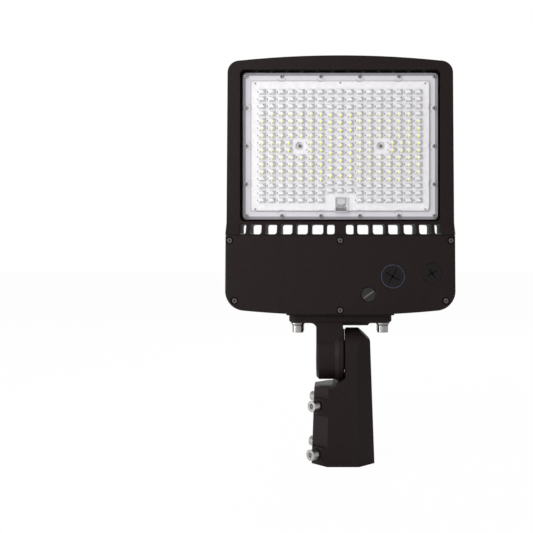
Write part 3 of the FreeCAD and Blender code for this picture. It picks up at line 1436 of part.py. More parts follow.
def mould_lens():
    body = new_body("lens_moulding")
    rounded_rectangle(
        body, "Pad", "rim", LENS_HALF_WIDTH, LENS_HALF_HEIGHT, LENS_RIM, LENS_BACK, "lens_corner"
    )
    rounded_rectangle(
        body,
        "Pad",
        "plateau",
        "plateau_half_width",
        "plateau_half_height",
        LENS_FACE,
        f"{LENS_RIM} + 1",
        "plateau_corner"
    )
    view_half = "viewport_width / 2"
    view_rise = f"({LENS_FACE} - viewport_rise)"
    viewport = rectangle(
        f"viewport_across - {view_half}",
        f"viewport_across + {view_half}",
        "viewport_height - viewport_length / 2",
        "viewport_height + viewport_length / 2",
    )
    slab(body, "Pad", "viewport", "XZ", view_rise, f"{LENS_RIM} + 1", [viewport])
    hollow_half = "(plateau_half_width - lens_hollow_margin)"
    hollow_height = "(plateau_half_height - lens_hollow_margin)"
    hollow = rectangle(
        f"-{hollow_half}",
        hollow_half,
        f"{WINDOW_MIDDLE} - {hollow_height}",
        f"{WINDOW_MIDDLE} + {hollow_height}",
    )
    slab(body, "Pocket", "hollow", "XZ", f"{LENS_RIM} + 1", LENS_BACK, [hollow])
    window = rectangle(
        f"viewport_across - {view_half} + viewport_wall",
        f"viewport_across + {view_half} - viewport_wall",
        f"{WINDOW_MIDDLE} - {hollow_height}",
        "viewport_height + viewport_length / 2 - viewport_wall",
    )
    slab(body, "Pocket", "viewport_room", "XZ", f"{view_rise} + viewport_wall", LENS_BACK, [window])
    pillars = [
        ("-inner_screw_reach", WINDOW_MIDDLE, "inner_boss_radius"),
        ("inner_screw_reach", WINDOW_MIDDLE, "inner_boss_radius"),
    ]
    slab(body, "Pad", "pillars", "XZ", f"{LENS_RIM} + 0.5", "floor_front", circles=pillars)
    return body


def make_lens_plate():
    edge, inner = lens_screw_places()
    rim = size(LENS_RIM)
    tools = []
    for across, up in edge:
        scallop = Part.makeCylinder(size("scallop_radius"), 20, Vector(across, rim, up), Vector(0, -1, 0))
        tools.append(scallop)
    for across, up in edge + inner:
        start = Vector(across, size("floor_front") + 1, up)
        hole = Part.makeCylinder(size("lens_screw_radius + screw_room"), 12, start, Vector(0, -1, 0))
        tools.append(hole)
    for across, up in inner:
        recess = Part.makeCylinder(size("inner_boss_radius"), 12, Vector(across, rim, up), Vector(0, -1, 0))
        tools.append(recess)
    holes = DOC.addObject("Part::Feature", "lens_holes")
    holes.Shape = tools[0].multiFuse(tools[1:])
    drilled = without("lens_drilled", mould_lens(), holes)
    return in_head(united("lens_with_cells", drilled, make_lens_cells()), "lens_plate")


def make_lens_gasket():
    """A flat frame under the plate's rim, with a hole for each edge screw."""
    body = new_body("gasket_frame")
    half_width, half_height = f"({LENS_HALF_WIDTH} - 0.5)", f"({LENS_HALF_HEIGHT} - 0.5)"
    rounded_rectangle(body, "Pad", "band", half_width, half_height, LENS_BACK, "floor_front", "lens_corner")
    inner = "(plateau_half_width - lens_hollow_margin)"
    inner_height = "(plateau_half_height - lens_hollow_margin)"
    rounded_rectangle(
        body, "Pocket", "opening", inner, inner_height, LENS_BACK, "floor_front", "plateau_corner"
    )
    DOC.recompute()
    through = Vector(0, size("lens_seal") + 2, 0)
    start = size(LENS_BACK) - 1
    edge = lens_screw_places()[0]
    holes = [(size("lens_screw_radius + screw_room"), Vector(across, start, up), through) for across, up in edge]
    return in_head(without("gasket_drilled", body, drills("gasket_holes", holes)), "lens_gasket")


def make_led_board():
    body = head_body("board_plate")
    front = "(floor_front - board_thickness)"
    outline = rectangle(
        "-board_half_width",
        "board_half_width",
        f"{WINDOW_MIDDLE} - board_half_height",
        f"{WINDOW_MIDDLE} + board_half_height",
    )
    slab(body, "Pad", "plate", "XZ", front, "floor_front", [outline])
    holes = [
        ("-inner_screw_reach", WINDOW_MIDDLE, "inner_boss_radius + board_room"),
        ("inner_screw_reach", WINDOW_MIDDLE, "inner_boss_radius + board_room"),
    ]
    slab(body, "Pocket", "pillar_holes", "XZ", front, "floor_front", circles=holes)
    gap = rectangle(
        "viewport_across - lead_hole_radius",
        "viewport_across + lead_hole_radius",
        f"{WINDOW_MIDDLE} - board_half_height - 1",
        "connector_foot",
    )
    slab(body, "Pocket", "lead_gap", "XZ", front, "floor_front", [gap])
    body.Label = "led_board"
    return body


def make_led_chips():
    front = size("floor_front - board_thickness")
    width, height, thickness = size("led_width"), size("led_height"), size("led_thickness")
    chips = DOC.addObject("Part::Feature", "led_chip_group")
    boxes = []
    for across, up in cell_places():
        corner = Vector(across - width / 2, front - thickness, up - height / 2)
        boxes.append(Part.makeBox(width, thickness, height, corner))
    chips.Shape = Part.makeCompound(boxes)
    return in_head(chips, "led_chips")


def make_connector():
    body = head_body("board_connector")
    half = "connector_width / 2"
    outline = rectangle(
        f"viewport_across - {half}",
        f"viewport_across + {half}",
        "connector_foot",
        "connector_foot + connector_height",
    )
    board = "(floor_front - board_thickness)"
    slab(body, "Pad", "connector_case", "XZ", f"{board} - connector_depth", board, [outline])
    return body


def make_lead(label, side):
    """One LED lead: down out of the plug, back through the floor and down the duct to the driver."""
    across = size(f"viewport_across + {side} * lead_spacing / 2")
    bend = size("lead_bend")
    front, duct = size("lead_front"), size("duct_depth")
    plug, turn = size("connector_foot"), size("lead_hole_height")
    end = size("driver_foot + driver_height")
    slant = bend * (1 - math.sqrt(0.5))
    path = [
        Part.LineSegment(Vector(across, front, plug), Vector(across, front, turn + bend)),
        Part.Arc(
            Vector(across, front, turn + bend),
            Vector(across, front + slant, turn + slant),
            Vector(across, front + bend, turn),
        ),
        Part.LineSegment(Vector(across, front + bend, turn), Vector(across, duct - bend, turn)),
        Part.Arc(
            Vector(across, duct - bend, turn),
            Vector(across, duct - slant, turn - slant),
            Vector(across, duct, turn - bend),
        ),
        Part.LineSegment(Vector(across, duct, turn - bend), Vector(across, duct, end)),
    ]
    wire = Part.Wire([piece.toShape() for piece in path])
    section = Part.Wire(Part.makeCircle(size("lead_radius"), Vector(across, front, plug), Vector(0, 0, 1)))
    lead = DOC.addObject("Part::Feature", label + "_sweep")
    lead.Shape = wire.makePipeShell([section], True, False)
    return in_head(lead, label)


def make_grommet():
    centre = ("viewport_across", "floor_front", "lead_hole_height")
    sleeve = rod("grommet_sleeve", "lead_hole_radius", "floor_back - floor_front", centre, "+Y")
    hole = rod("grommet_hole", "grommet_bore", "floor_back - floor_front", centre, "+Y")
    return in_head(without("grommet_cut", sleeve, hole), "wire_grommet")


# ---------------------------------------------------------------- inside the driver box


def eared_case(name):
    """A potted case on the box's back wall, with a mounting ear at each end."""
    left, foot = f"{name}_left", f"{name}_foot"
    right = f"({left} + {name}_width)"
    top = f"({foot} + {name}_height)"
    case = block(name + "_case", (left, right), (f"{CAVITY_BACK} - {name}_depth", CAVITY_BACK), (foot, top))
    ear_edge = f"{name}_height * 0.1"
    ears = block(
        name + "_ears",
        (f"{left} - ear_length", f"{right} + ear_length"),
        (f"{CAVITY_BACK} - ear_thickness", CAVITY_BACK),
        (f"{foot} + {ear_edge}", f"{top} - {ear_edge}"),
    )
    return joined(name + "_blank", [case, ears])


def ear_drills(name, extra):
    """The screw holes in a case's ears."""
    back = size(CAVITY_BACK)
    left, right = size(f"{name}_left"), size(f"{name}_left + {name}_width")
    holes = []
    for across, up in chassis_screw_places():
        if left - size("ear_length") < across < right + size("ear_length"):
            if size(f"{name}_foot") < up < size(f"{name}_foot + {name}_height"):
                start = Vector(across, back - size("ear_thickness") - 1, up)
                holes.append(
                    (size("chassis_screw_radius + screw_room"), start, Vector(0, size("ear_thickness") + 2, 0))
                )
    return holes + extra


def make_chassis():
    driver_holes = drills("driver_holes", ear_drills("driver", []))
    NODES.append(in_head(without("driver_drilled", eared_case("driver"), driver_holes), "driver"))
    surge = without("surge_drilled", eared_case("surge"), drills("surge_holes", ear_drills("surge", [])))
    NODES.append(in_head(surge, "surge_protector"))
    mouths = []
    front = size(f"{CAVITY_BACK} - terminal_depth")
    for pole in range(3):
        across = size("terminal_left") + size("terminal_width") * (pole + 0.5) / 3
        start = Vector(across, front + size("terminal_depth / 2"), size("terminal_foot") - 1)
        mouths.append((size("pole_radius"), start, Vector(0, 0, size("terminal_height") / 2)))
    holes = drills("terminal_holes", ear_drills("terminal", mouths))
    terminal = without("terminal_drilled", eared_case("terminal"), holes)
    NODES.append(in_head(terminal, "terminal_block"))
    length = "(ear_thickness + chassis_screw_grip)"
    screw = pan_screw(
        "chassis_screw",
        "chassis_screw_radius",
        length,
        "chassis_screw_head",
        "chassis_screw_head_height",
    )
    seat = size(f"{CAVITY_BACK} - ear_thickness")
    places = shifts((across, seat, up) for across, up in chassis_screw_places())
    NODES.append(in_head(copies("chassis_screw_group", screw, places), "chassis_screws"))


def make_lens_screws():
    """Eighteen screws on the rim and two on the inner pillars."""
    length = "(lens_lip + lens_seal + lens_screw_grip)"
    screw = pan_screw("lens_screw", "lens_screw_radius", length, "lens_screw_head", "lens_screw_head_height")
    edge, inner = lens_screw_places()
    seat = size(LENS_RIM)
    return in_head(
        copies("lens_screw_group", screw, shifts((x, seat, z) for x, z in edge + inner)), "lens_screws"
    )


# ---------------------------------------------------------------- the whole light

NODES = []

NODES.append(make_slip_fitter())
make_clamp_screws()
NODES.append(make_arm())
make_arm_fasteners()
make_pivot_bolt()
NODES.append(make_housing())
NODES.append(make_door())
NODES.append(make_door_gasket())
NODES.append(make_door_screws())
make_plug("large_plug")
make_plug("small_plug")
make_selector()
NODES.append(make_lens_plate())
NODES.append(make_lens_gasket())
NODES.append(make_lens_screws())
NODES.append(make_led_board())
NODES.append(make_led_chips())
NODES.append(make_connector())
NODES.append(make_lead("led_lead_blue", 1))
NODES.append(make_lead("led_lead_grey", -1))
NODES.append(make_grommet())
make_chassis()

DOC.recompute()

for item in DOC.Objects:
    if "Invalid" in item.State or "Error" in item.State:
        raise RuntimeError(f"{item.Label} did not build")

os.makedirs("parts", exist_ok=True)
for node in NODES:
    if node.Shape.isNull() or not node.Shape.isValid():
        raise RuntimeError(f"{node.Label} has no valid shape")
    node.Shape.exportStep(f"parts/{node.Label}.step")
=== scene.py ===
"""Looks of a shoebox area light: the finishes of its CAD pieces, small details of the scene's own, and
the floor, light and camera. Sizes of the part are in millimetres, and MM turns them into metres. The
grain and bevels of finishes, the floor, the lamps and the camera are in metres."""

import json
import math

import bpy
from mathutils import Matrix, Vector


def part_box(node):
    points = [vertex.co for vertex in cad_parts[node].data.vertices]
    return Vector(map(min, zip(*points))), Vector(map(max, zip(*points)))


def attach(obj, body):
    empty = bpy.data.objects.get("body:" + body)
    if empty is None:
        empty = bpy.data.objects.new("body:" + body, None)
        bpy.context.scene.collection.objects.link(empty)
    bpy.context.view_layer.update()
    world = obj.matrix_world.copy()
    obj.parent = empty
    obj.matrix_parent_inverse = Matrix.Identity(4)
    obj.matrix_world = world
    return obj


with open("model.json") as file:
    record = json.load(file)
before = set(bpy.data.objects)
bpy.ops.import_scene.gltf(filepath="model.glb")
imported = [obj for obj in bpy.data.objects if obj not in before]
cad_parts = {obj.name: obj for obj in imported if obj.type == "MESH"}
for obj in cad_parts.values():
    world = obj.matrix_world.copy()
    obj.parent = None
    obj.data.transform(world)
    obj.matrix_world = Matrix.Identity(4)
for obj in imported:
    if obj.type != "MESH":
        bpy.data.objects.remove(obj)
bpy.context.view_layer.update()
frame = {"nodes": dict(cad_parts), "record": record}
nodes = frame["nodes"]

MM = 0.001

# ---------------------------------------------------------------- sizes of the part, in millimetres

PLATE_LOW, PLATE_HIGH = [[value / MM for value in corner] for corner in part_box("lens_plate")]
HEAD_X = (PLATE_LOW[0] + PLATE_HIGH[0]) / 2
WINDOW_Z = (PLATE_LOW[2] + PLATE_HIGH[2]) / 2
HALF_WIDTH = (PLATE_HIGH[0] - PLATE_LOW[0]) / 2
HALF_HEIGHT = (PLATE_HIGH[2] - PLATE_LOW[2]) / 2
LAND_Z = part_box("arm_gasket")[1][2] / MM
DOOR_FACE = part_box("door")[0][1] / MM

# The head gives its light towards -Y. Behind the tops of the optics lie the plate's face and its rim.
OPTIC_FACE = PLATE_LOW[1]
CELL_RISE = 3.2
RIM_STEP = 2
PLATE_FACE = OPTIC_FACE + CELL_RISE
RIM_FACE = PLATE_FACE + RIM_STEP

# The bands of the plate, from its edge inwards, which carry painted shade.
LIP_WIDTH = 3.4
GROOVE_END = 8.6
PLATEAU_HALF_WIDTH = 104.5
PLATEAU_HALF_HEIGHT = 76

# The optics stand in columns counted from the middle. Those at the sides have more lines than the three
# in the middle, which end above the connector's window. Beside each inner screw, two lines leave out a
# column and shift the next two outwards.
CELL_ACROSS = 11.5
SIDE_COLUMNS = range(2, 9)
SIDE_LINES = 16
CELL_UP = 8.5
MIDDLE_COLUMNS = (-1, 0, 1)
MIDDLE_LINES = 14
CELL_UP_MIDDLE = 8.93
SCREW_LINES = (7, 8)
SCREW_COLUMN = 4
NEAR_SHIFT = {5: 3.5, 6: 2.5}
OUTER_COLUMN_START = 7.5 * CELL_ACROSS

VIEWPORT_X = HEAD_X + 0.8
VIEWPORT_Z = LAND_Z + 130.2
VIEWPORT_HALF = (6.6, 8.1)

LENS_SCREW_INSET = 4.1
LENS_SCREW_STEP_ACROSS = 46
LENS_SCREW_STEP_UP = 45
INNER_SCREW_REACH = 47.7
LENS_SCREW_FACE = RIM_FACE - 1.7

# Across from the head's middle, and up from the arm's land.
DOOR_SCREWS = ((-128.5, 87.5), (0, 87.5), (128.5, 87.5), (-122.7, 17.5), (122.7, 17.5), (0, 6.5))
DOOR_SCREW_FACE = DOOR_FACE + 0.4

# The cross of the large plug and that of the small one: centre in X and Z, length, width, turn in degrees.
PLUG_CROSSES = (((57.7, 220.4), 18.2, 2.2, 59), ((103.3, 224.0), 13, 2.2, 33))
LARGE_PLUG = PLUG_CROSSES[0][0]
LARGE_PLUG_RADIUS = 14

SELECTOR = (29.6, 199.2)
SELECTOR_FACE = -33.5
SELECTOR_SLOT = {"length": 14.5, "width": 1.5, "turn": 36}

# The face of the knuckle's disc looks towards -X.
SCALE_FACE = -31.5
PIVOT_Z = 125.5


def cells():
    """The centre of each optic, in X and Z."""
    top = WINDOW_Z + (SIDE_LINES - 1) / 2 * CELL_UP
    places = []
    for column in SIDE_COLUMNS:
        for line in range(SIDE_LINES):
            across = column * CELL_ACROSS
            if line in SCREW_LINES:
                if column == SCREW_COLUMN:
                    continue
                across += NEAR_SHIFT.get(column, 0)
            for side in (-1, 1):
                places.append((HEAD_X + side * across, top - line * CELL_UP))
    for column in MIDDLE_COLUMNS:
        for line in range(MIDDLE_LINES):
            places.append((HEAD_X + column * CELL_ACROSS, top - line * CELL_UP_MIDDLE))
    return places


def lens_screws():
    """The centre of each small screw of the lens plate, in X and Z."""
    side = HALF_WIDTH - LENS_SCREW_INSET
    end = HALF_HEIGHT - LENS_SCREW_INSET
    places = []
    for up in (-end, end):
        for across in (-1.5 * LENS_SCREW_STEP_ACROSS, -0.5 * LENS_SCREW_STEP_ACROSS):
            places += [(across, up), (-across, up)]
        places += [(-side, up), (side, up)]
    for across in (-side, side):
        places += [(across, line * LENS_SCREW_STEP_UP) for line in (-1, 0, 1)]
    places += [(-INNER_SCREW_REACH, 0), (INNER_SCREW_REACH, 0)]
    return [(HEAD_X + across, WINDOW_Z + up) for across, up in places]


# ---------------------------------------------------------------- materials


def srgb(red, green, blue):
    """Linear colour of an 8-bit screen colour."""
    linear = []
    for value in (red, green, blue):
        share = value / 255
        linear.append(share / 12.92 if share <= 0.04045 else ((share + 0.055) / 1.055) ** 2.4)
    return (*linear, 1)


# A mottle turns from one colour to the other between these values of the noise.
MOTTLE_EDGES = (0.35, 0.65)

# The sockets of a mix node share their names, so they are told apart by number.
MIX_SHARE = 0
MIX_VECTORS = (4, 5)
MIX_VECTOR_OUT = 1
MIX_COLOURS = (6, 7)
MIX_COLOUR_OUT = 2


class Surface:
    """A material with one Principled shader, and short ways to add detail to it."""

    def __init__(self, name, roughness, metallic=0.0, specular=0.5, coat=0.0):
        self.material = bpy.data.materials.new(name)
        self.material.use_nodes = True
        self.tree = self.material.node_tree
        self.tree.nodes.clear()
        self.output = self.node("ShaderNodeOutputMaterial")
        self.shader = self.node("ShaderNodeBsdfPrincipled")
        self.shader.inputs["Roughness"].default_value = roughness
        self.shader.inputs["Metallic"].default_value = metallic
        self.shader.inputs["Specular IOR Level"].default_value = specular
        self.shader.inputs["Coat Weight"].default_value = coat
        self.link(self.shader, "BSDF", self.output, "Surface")
        self.place = self.node("ShaderNodeTexCoord")
        self.axes = None

    def node(self, kind):
        return self.tree.nodes.new(kind)

    def link(self, start, out, end, into):
        self.tree.links.new(start.outputs[out], end.inputs[into])

    def noise(self, scale, detail=3.0):
        noise = self.node("ShaderNodeTexNoise")
        noise.inputs["Scale"].default_value = scale
        noise.inputs["Detail"].default_value = detail
        self.link(self.place, "Object", noise, "Vector")
        return noise

    def colours(self, first, second, scale):
        """Mottle between two colours, and return the node that gives the colour."""
        ramp = self.node("ShaderNodeValToRGB")
        for index, colour in enumerate((first, second)):
            stop = ramp.color_ramp.elements[index]
            stop.position = MOTTLE_EDGES[index]
            stop.color = colour
        self.link(self.noise(scale), "Fac", ramp, "Fac")
        self.link(ramp, "Color", self.shader, "Base Color")
        return ramp

    def grain(self, scale, depth, edge=0.0):
        """A fine relief of this depth in metres, over edges that are rounded by edge."""
        bump = self.node("ShaderNodeBump")
        bump.inputs["Strength"].default_value = 1.0
        bump.inputs["Distance"].default_value = depth
        self.link(self.noise(scale, 2.0), "Fac", bump, "Height")
        if edge:
            bevel = self.node("ShaderNodeBevel")
            bevel.samples = 6
            bevel.inputs["Radius"].default_value = edge
            self.link(bevel, "Normal", bump, "Normal")
        self.link(bump, "Normal", self.shader, "Normal")
        return self

    def flattened(self, share):
        """Turn the shading of small flanks towards the way the plate faces, as clear plastic does."""
        facing = self.node("ShaderNodeVectorTransform")
        facing.vector_type = "NORMAL"
        facing.convert_from = "OBJECT"
        facing.convert_to = "WORLD"
        facing.inputs["Vector"].default_value = (0, -1, 0)
        shape = self.node("ShaderNodeNewGeometry")
        blend = self.node("ShaderNodeMix")
        blend.data_type = "VECTOR"
        blend.inputs[MIX_SHARE].default_value = share
        self.link(shape, "Normal", blend, MIX_VECTORS[0])
        self.link(facing, "Vector", blend, MIX_VECTORS[1])
        whole = self.node("ShaderNodeVectorMath")
        whole.operation = "NORMALIZE"
        self.link(blend, MIX_VECTOR_OUT, whole, 0)
        bump = next(node for node in self.tree.nodes if node.type == "BUMP")
        self.link(whole, "Vector", bump, "Normal")
        return self

    def within(self, axis, low, high):
        """1 where a coordinate, in metres, lies between low and high."""
        if self.axes is None:
            self.axes = self.node("ShaderNodeSeparateXYZ")
            self.link(self.place, "Object", self.axes, "Vector")
        compare = self.node("ShaderNodeMath")
        compare.operation = "COMPARE"
        compare.inputs[1].default_value = (low + high) / 2
        compare.inputs[2].default_value = (high - low) / 2
        self.link(self.axes, axis, compare, 0)
        return compare

    def both(self, first, second):
        """1 where two such bands cross."""
        product = self.node("ShaderNodeMath")
        product.operation = "MULTIPLY"
        self.link(first, "Value", product, 0)
        self.link(second, "Value", product, 1)
        return product


def body_paint():
    """Dark bronze powder coat: a fine orange-peel grain and a soft sheen."""
    paint = Surface("body_paint", roughness=0.5, specular=0.12)
    paint.colours(srgb(27, 20, 20), srgb(34, 26, 25), scale=900)
    return paint.grain(scale=2600, depth=0.00006, edge=0.0007).material


def plug_paint():
    """The finish of the plugs and the knob: smoother and a little glossier."""
    paint = Surface("plug_paint", roughness=0.35, specular=0.12, coat=0.05)
    paint.colours(srgb(24, 21, 22), srgb(31, 27, 28), scale=700)
    return paint.grain(scale=1600, depth=0.00003, edge=0.0008).material


def steel(name, first, second):
    """Bare metal between two greys."""
    metal = Surface(name, roughness=0.22, metallic=1.0)
    metal.colours(first, second, scale=1200)
    return metal.grain(scale=3000, depth=0.00002, edge=0.0003).material


def plain(name, first, second, roughness, depth=0.00003, specular=0.4):
    """A simple finish between two near colours."""
    surface = Surface(name, roughness, specular=specular)
    surface.colours(first, second, scale=600)
    return surface.grain(scale=1800, depth=depth, edge=0.0003).material


def inside_plate(lens, margin_x, margin_z):
    """1 on the plate, away from its edges by these margins in millimetres."""
    return lens.both(
        lens.within("X", (PLATE_LOW[0] + margin_x) * MM, (PLATE_HIGH[0] - margin_x) * MM),
        lens.within("Z", (PLATE_LOW[2] + margin_z) * MM, (PLATE_HIGH[2] - margin_z) * MM),
    )


# Painted shade on the plate's edge bands: darkest on the lip, lighter in the groove, grey on the step.
LIP_SHADE_GREY = srgb(160, 157, 164)
GROOVE_SHADE_GREY = srgb(232, 229, 236)
STEP_SHADE_GREY = srgb(214, 210, 217)


def lens_bands(lens, middle):
    """From the edge inwards, painted shade: darkest on the lip, lighter in the groove, grey on the step,
    and none on the white middle.
    """
    bands = (
        (LIP_WIDTH, LIP_WIDTH, GROOVE_SHADE_GREY),
        (GROOVE_END, GROOVE_END, STEP_SHADE_GREY),
        (HALF_WIDTH - PLATEAU_HALF_WIDTH, HALF_HEIGHT - PLATEAU_HALF_HEIGHT, None),
    )
    below = None
    for margin_x, margin_z, colour in bands:
        mix = lens.node("ShaderNodeMix")
        mix.data_type = "RGBA"
        if below:
            lens.tree.links.new(below, mix.inputs[MIX_COLOURS[0]])
        else:
            mix.inputs[MIX_COLOURS[0]].default_value = LIP_SHADE_GREY
        if colour:
            mix.inputs[MIX_COLOURS[1]].default_value = colour
        else:
            lens.link(middle, "Color", mix, MIX_COLOURS[1])
        lens.link(inside_plate(lens, margin_x, margin_z), "Value", mix, MIX_SHARE)
        below = mix.outputs[MIX_COLOUR_OUT]
    lens.tree.links.new(below, lens.shader.inputs["Base Color"])


PLATE_CLEARNESS = 0.15
WINDOW_CLEARNESS = 0.8
FLANK_SOFTNESS = 0.85


def lens_plastic():
    """Clear plastic over a white board, see-through at the connector."""
    lens = Surface("lens", roughness=0.14, specular=0.5, coat=0.3)
    lens_bands(lens, lens.colours(srgb(243, 241, 244), srgb(252, 251, 253), scale=160))
    window = lens.both(
        lens.within("X", (VIEWPORT_X - VIEWPORT_HALF[0]) * MM, (VIEWPORT_X + VIEWPORT_HALF[0]) * MM),
        lens.within("Z", (VIEWPORT_Z - VIEWPORT_HALF[1]) * MM, (VIEWPORT_Z + VIEWPORT_HALF[1]) * MM),
    )
    share = lens.node("ShaderNodeMath")
    share.operation = "MULTIPLY_ADD"
    share.inputs[1].default_value = WINDOW_CLEARNESS - PLATE_CLEARNESS
    share.inputs[2].default_value = PLATE_CLEARNESS
    lens.link(window, "Value", share, 0)
    clear = lens.node("ShaderNodeBsdfTransparent")
    mix = lens.node("ShaderNodeMixShader")
    lens.link(share, "Value", mix, "Fac")
    lens.link(lens.shader, "BSDF", mix, 1)
    lens.link(clear, "BSDF", mix, 2)
    lens.link(mix, "Shader", lens.output, "Surface")
    return lens.grain(scale=350, depth=0.00004).flattened(FLANK_SOFTNESS).material


MATERIALS = {
    "body_paint": body_paint(),
    "plug_paint": plug_paint(),
    "steel": steel("steel", srgb(170, 167, 164), srgb(200, 197, 194)),
    "rubber": plain("rubber", srgb(38, 38, 39), srgb(52, 52, 53), 0.8, depth=0.00008, specular=0.2),
    "black_plastic": plain("black_plastic", srgb(24, 24, 25), srgb(33, 33, 34), 0.4),
    "white_plastic": plain("white_plastic", srgb(205, 205, 200), srgb(222, 222, 217), 0.35),
    "lens": lens_plastic(),
    "board": plain("board", srgb(240, 240, 241), srgb(249, 249, 249), 0.45),
    "led": plain("led", srgb(248, 242, 126), srgb(255, 250, 152), 0.3),
    "lead_blue": plain("lead_blue", srgb(58, 92, 160), srgb(74, 110, 178), 0.4),
    "lead_grey": plain("lead_grey", srgb(120, 121, 124), srgb(140, 141, 144), 0.4),
    "driver_case": plain("driver_case", srgb(176, 177, 178), srgb(192, 193, 194), 0.4, depth=0.00005),
}
# Painted shade on the lens, in grey: the optics' dark marks and the moulding marks, and the optics' faint
# lines.
SHADOW_GREY = plain("lens_shade_mark", srgb(142, 140, 147), srgb(164, 162, 168), 0.4)
FAINT_SHADE_GREY = plain("lens_shade_line", srgb(206, 204, 210), srgb(220, 218, 223), 0.4)
# A darker copy of the steel, with the same finish, for the door's screws and the spring washers.
DARKER_STEEL = steel("darker_steel", srgb(104, 99, 96), srgb(132, 127, 124))
# Painted highlight: the scale is a relief in the body's paint, coloured lighter here so that it can be
# read.
SCALE_HIGHLIGHT_PAINT = plain("scale_highlight", srgb(84, 76, 74), srgb(104, 96, 94), 0.5)
# Painted shade for the curved steps round the lens plate's edge screws.
SCALLOP_SHADE_GREY = plain("lens_scallop_shade", srgb(172, 167, 174), srgb(184, 179, 186), 0.4)
# Painted shade on the floors of the plugs' crosses.
SLOT_SHADE_BLACK = plain("slot", srgb(10, 9, 9), srgb(16, 15, 15), 0.8, specular=0.1)
# Painted highlight along the selector's slot.
SLOT_HIGHLIGHT = plain("slot_painted_highlight", srgb(96, 88, 78), srgb(120, 111, 99), 0.5)
# Painted reflection, bluish, on the large plug's rim.
RIM_REFLECTION_BLUE = plain("plug_rim_reflection", srgb(52, 56, 78), srgb(70, 76, 104), 0.25)
# Painted shade in the screws' drive recesses.
RECESS_SHADE_BLACK = plain("recess", srgb(14, 13, 13), srgb(22, 21, 21), 0.7)


# ---------------------------------------------------------------- dressing the frame's own pieces

SMOOTH_ANGLE = math.radians(24)
WELD_REACH = 0.002 * MM


def dress(node, material):
    """Give a CAD piece its finish, and smooth its tessellated curves."""
    mesh = node.data
    mesh.materials.clear()
    mesh.materials.append(material)
    custom = mesh.attributes.get("custom_normal")
    if custom:
        mesh.attributes.remove(custom)
    for polygon in mesh.polygons:
        polygon.use_smooth = True
        polygon.material_index = 0
    weld = node.modifiers.new("weld", "WELD")
    weld.merge_threshold = WELD_REACH
    split = node.modifiers.new("split", "EDGE_SPLIT")
    split.split_angle = SMOOTH_ANGLE


for entry in frame["record"]["subparts"]:
    dress(nodes[entry["node"]], MATERIALS[entry["material_slot"]])
for name in ("door_screws", "arm_spring_washers"):
    nodes[name].data.materials[0] = DARKER_STEEL


# ---------------------------------------------------------------- small pieces of the scene's own


class Shapes:
    """Many small thin shapes gathered in one mesh. Lengths in millimetres."""

    def __init__(self):
        self.points = []
        self.faces = []

    def cap(self, centre, half, sides, rise=0.0):
        """An ellipse that faces -Y, given by its half sizes in X and Z, with its middle raised."""
        x, y, z = centre
        first = len(self.points)
        for index in range(sides):
            angle = 2 * math.pi / sides * index
            point = Vector((x + half[0] * math.cos(angle), y, z + half[1] * math.sin(angle)))
            self.points.append(point * MM)
            self.faces.append((first + index, first + (index + 1) % sides, first + sides))
        self.points.append(Vector((x, y - rise, z)) * MM)

    def ribbon(self, left, right):
        """A strip between two lines of points."""
        first = len(self.points)
        for pair in zip(left, right):
            self.points += [Vector(point) * MM for point in pair]
        for index in range(len(left) - 1):
            corner = first + 2 * index
            self.faces.append((corner, corner + 1, corner + 3, corner + 2))

    def bar(self, centre, y, length, width, turn):
        """A flat bar that faces -Y, turned in its plane by this many degrees."""
        angle = math.radians(turn)
        along = (math.cos(angle) * length / 2, math.sin(angle) * length / 2)
        side = (-math.sin(angle) * width / 2, math.cos(angle) * width / 2)
        edges = []
        for sign in (1, -1):
            x = centre[0] + sign * side[0]
            z = centre[1] + sign * side[1]
            edges.append([(x + end * along[0], y, z + end * along[1]) for end in (-1, 1)])
        self.ribbon(*edges)

    def add(self, name, material, slot, body="head", smooth=True):
        """Put the mesh in the scene, where it moves with a body."""
        mesh = bpy.data.meshes.new(name)
        mesh.from_pydata([tuple(point) for point in self.points], [], self.faces)
        mesh.materials.append(material)
        for polygon in mesh.polygons:
            polygon.use_smooth = smooth
        mesh.update()
        piece = bpy.data.objects.new(name, mesh)
        bpy.context.scene.collection.objects.link(piece)
        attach(piece, body)


def arc_line(centre, radius, start, stop, y, count):
    """Points along an arc that faces -Y, from one angle to another in degrees."""
    turn = math.radians(stop - start) / (count - 1)
    first = math.radians(start)
    points = []
    for index in range(count):
        angle = first + turn * index
        points.append((centre[0] + radius * math.cos(angle), y, centre[1] + radius * math.sin(angle)))
    return points


# Each image reaches this far above and below the window's middle, and less in the outermost columns.
IMAGE_REACH = 42
IMAGE_REACH_OUTER = 33
IMAGE_DROP = 1.7
IMAGE_HALF = (0.85, 2.0)
IMAGE_LIFT = 0.02
IMAGE_RISE = 0.25


def led_images():
    """The yellow phosphor, drawn large by the optics of the middle lines, a little below their middles."""
    shapes = Shapes()
    for across, up in cells():
        outermost = abs(across - HEAD_X) > OUTER_COLUMN_START
        if abs(up - WINDOW_Z) > (IMAGE_REACH_OUTER if outermost else IMAGE_REACH):
            continue
        shapes.cap((across, OPTIC_FACE - IMAGE_LIFT, up - IMAGE_DROP), IMAGE_HALF, 14, IMAGE_RISE)
    shapes.add("led_images", MATERIALS["led"], "led")


# Marks stand this far off the plastic, and the middles of the dark ones a little farther.
MARK_LIFT = 0.05
MARK_RISE = 0.1

# Places from the optic's middle in X and Z, and half sizes of the dark marks.
COMMA_PLACE = (-5.0, -0.3)
COMMA_HALF = (0.85, 1.25)
HOOK_PLACE = (1.9, 1.2)
HOOK_HALF = (1.15, 0.6)
LAND_LINE_PLACE = (4.7, -0.9)
LAND_LINE = {"length": 3.4, "width": 0.45, "turn": -38}
TOP_LINE_PLACE = (-0.6, 1.9)
TOP_LINE = {"length": 3.2, "width": 0.4, "turn": 35}


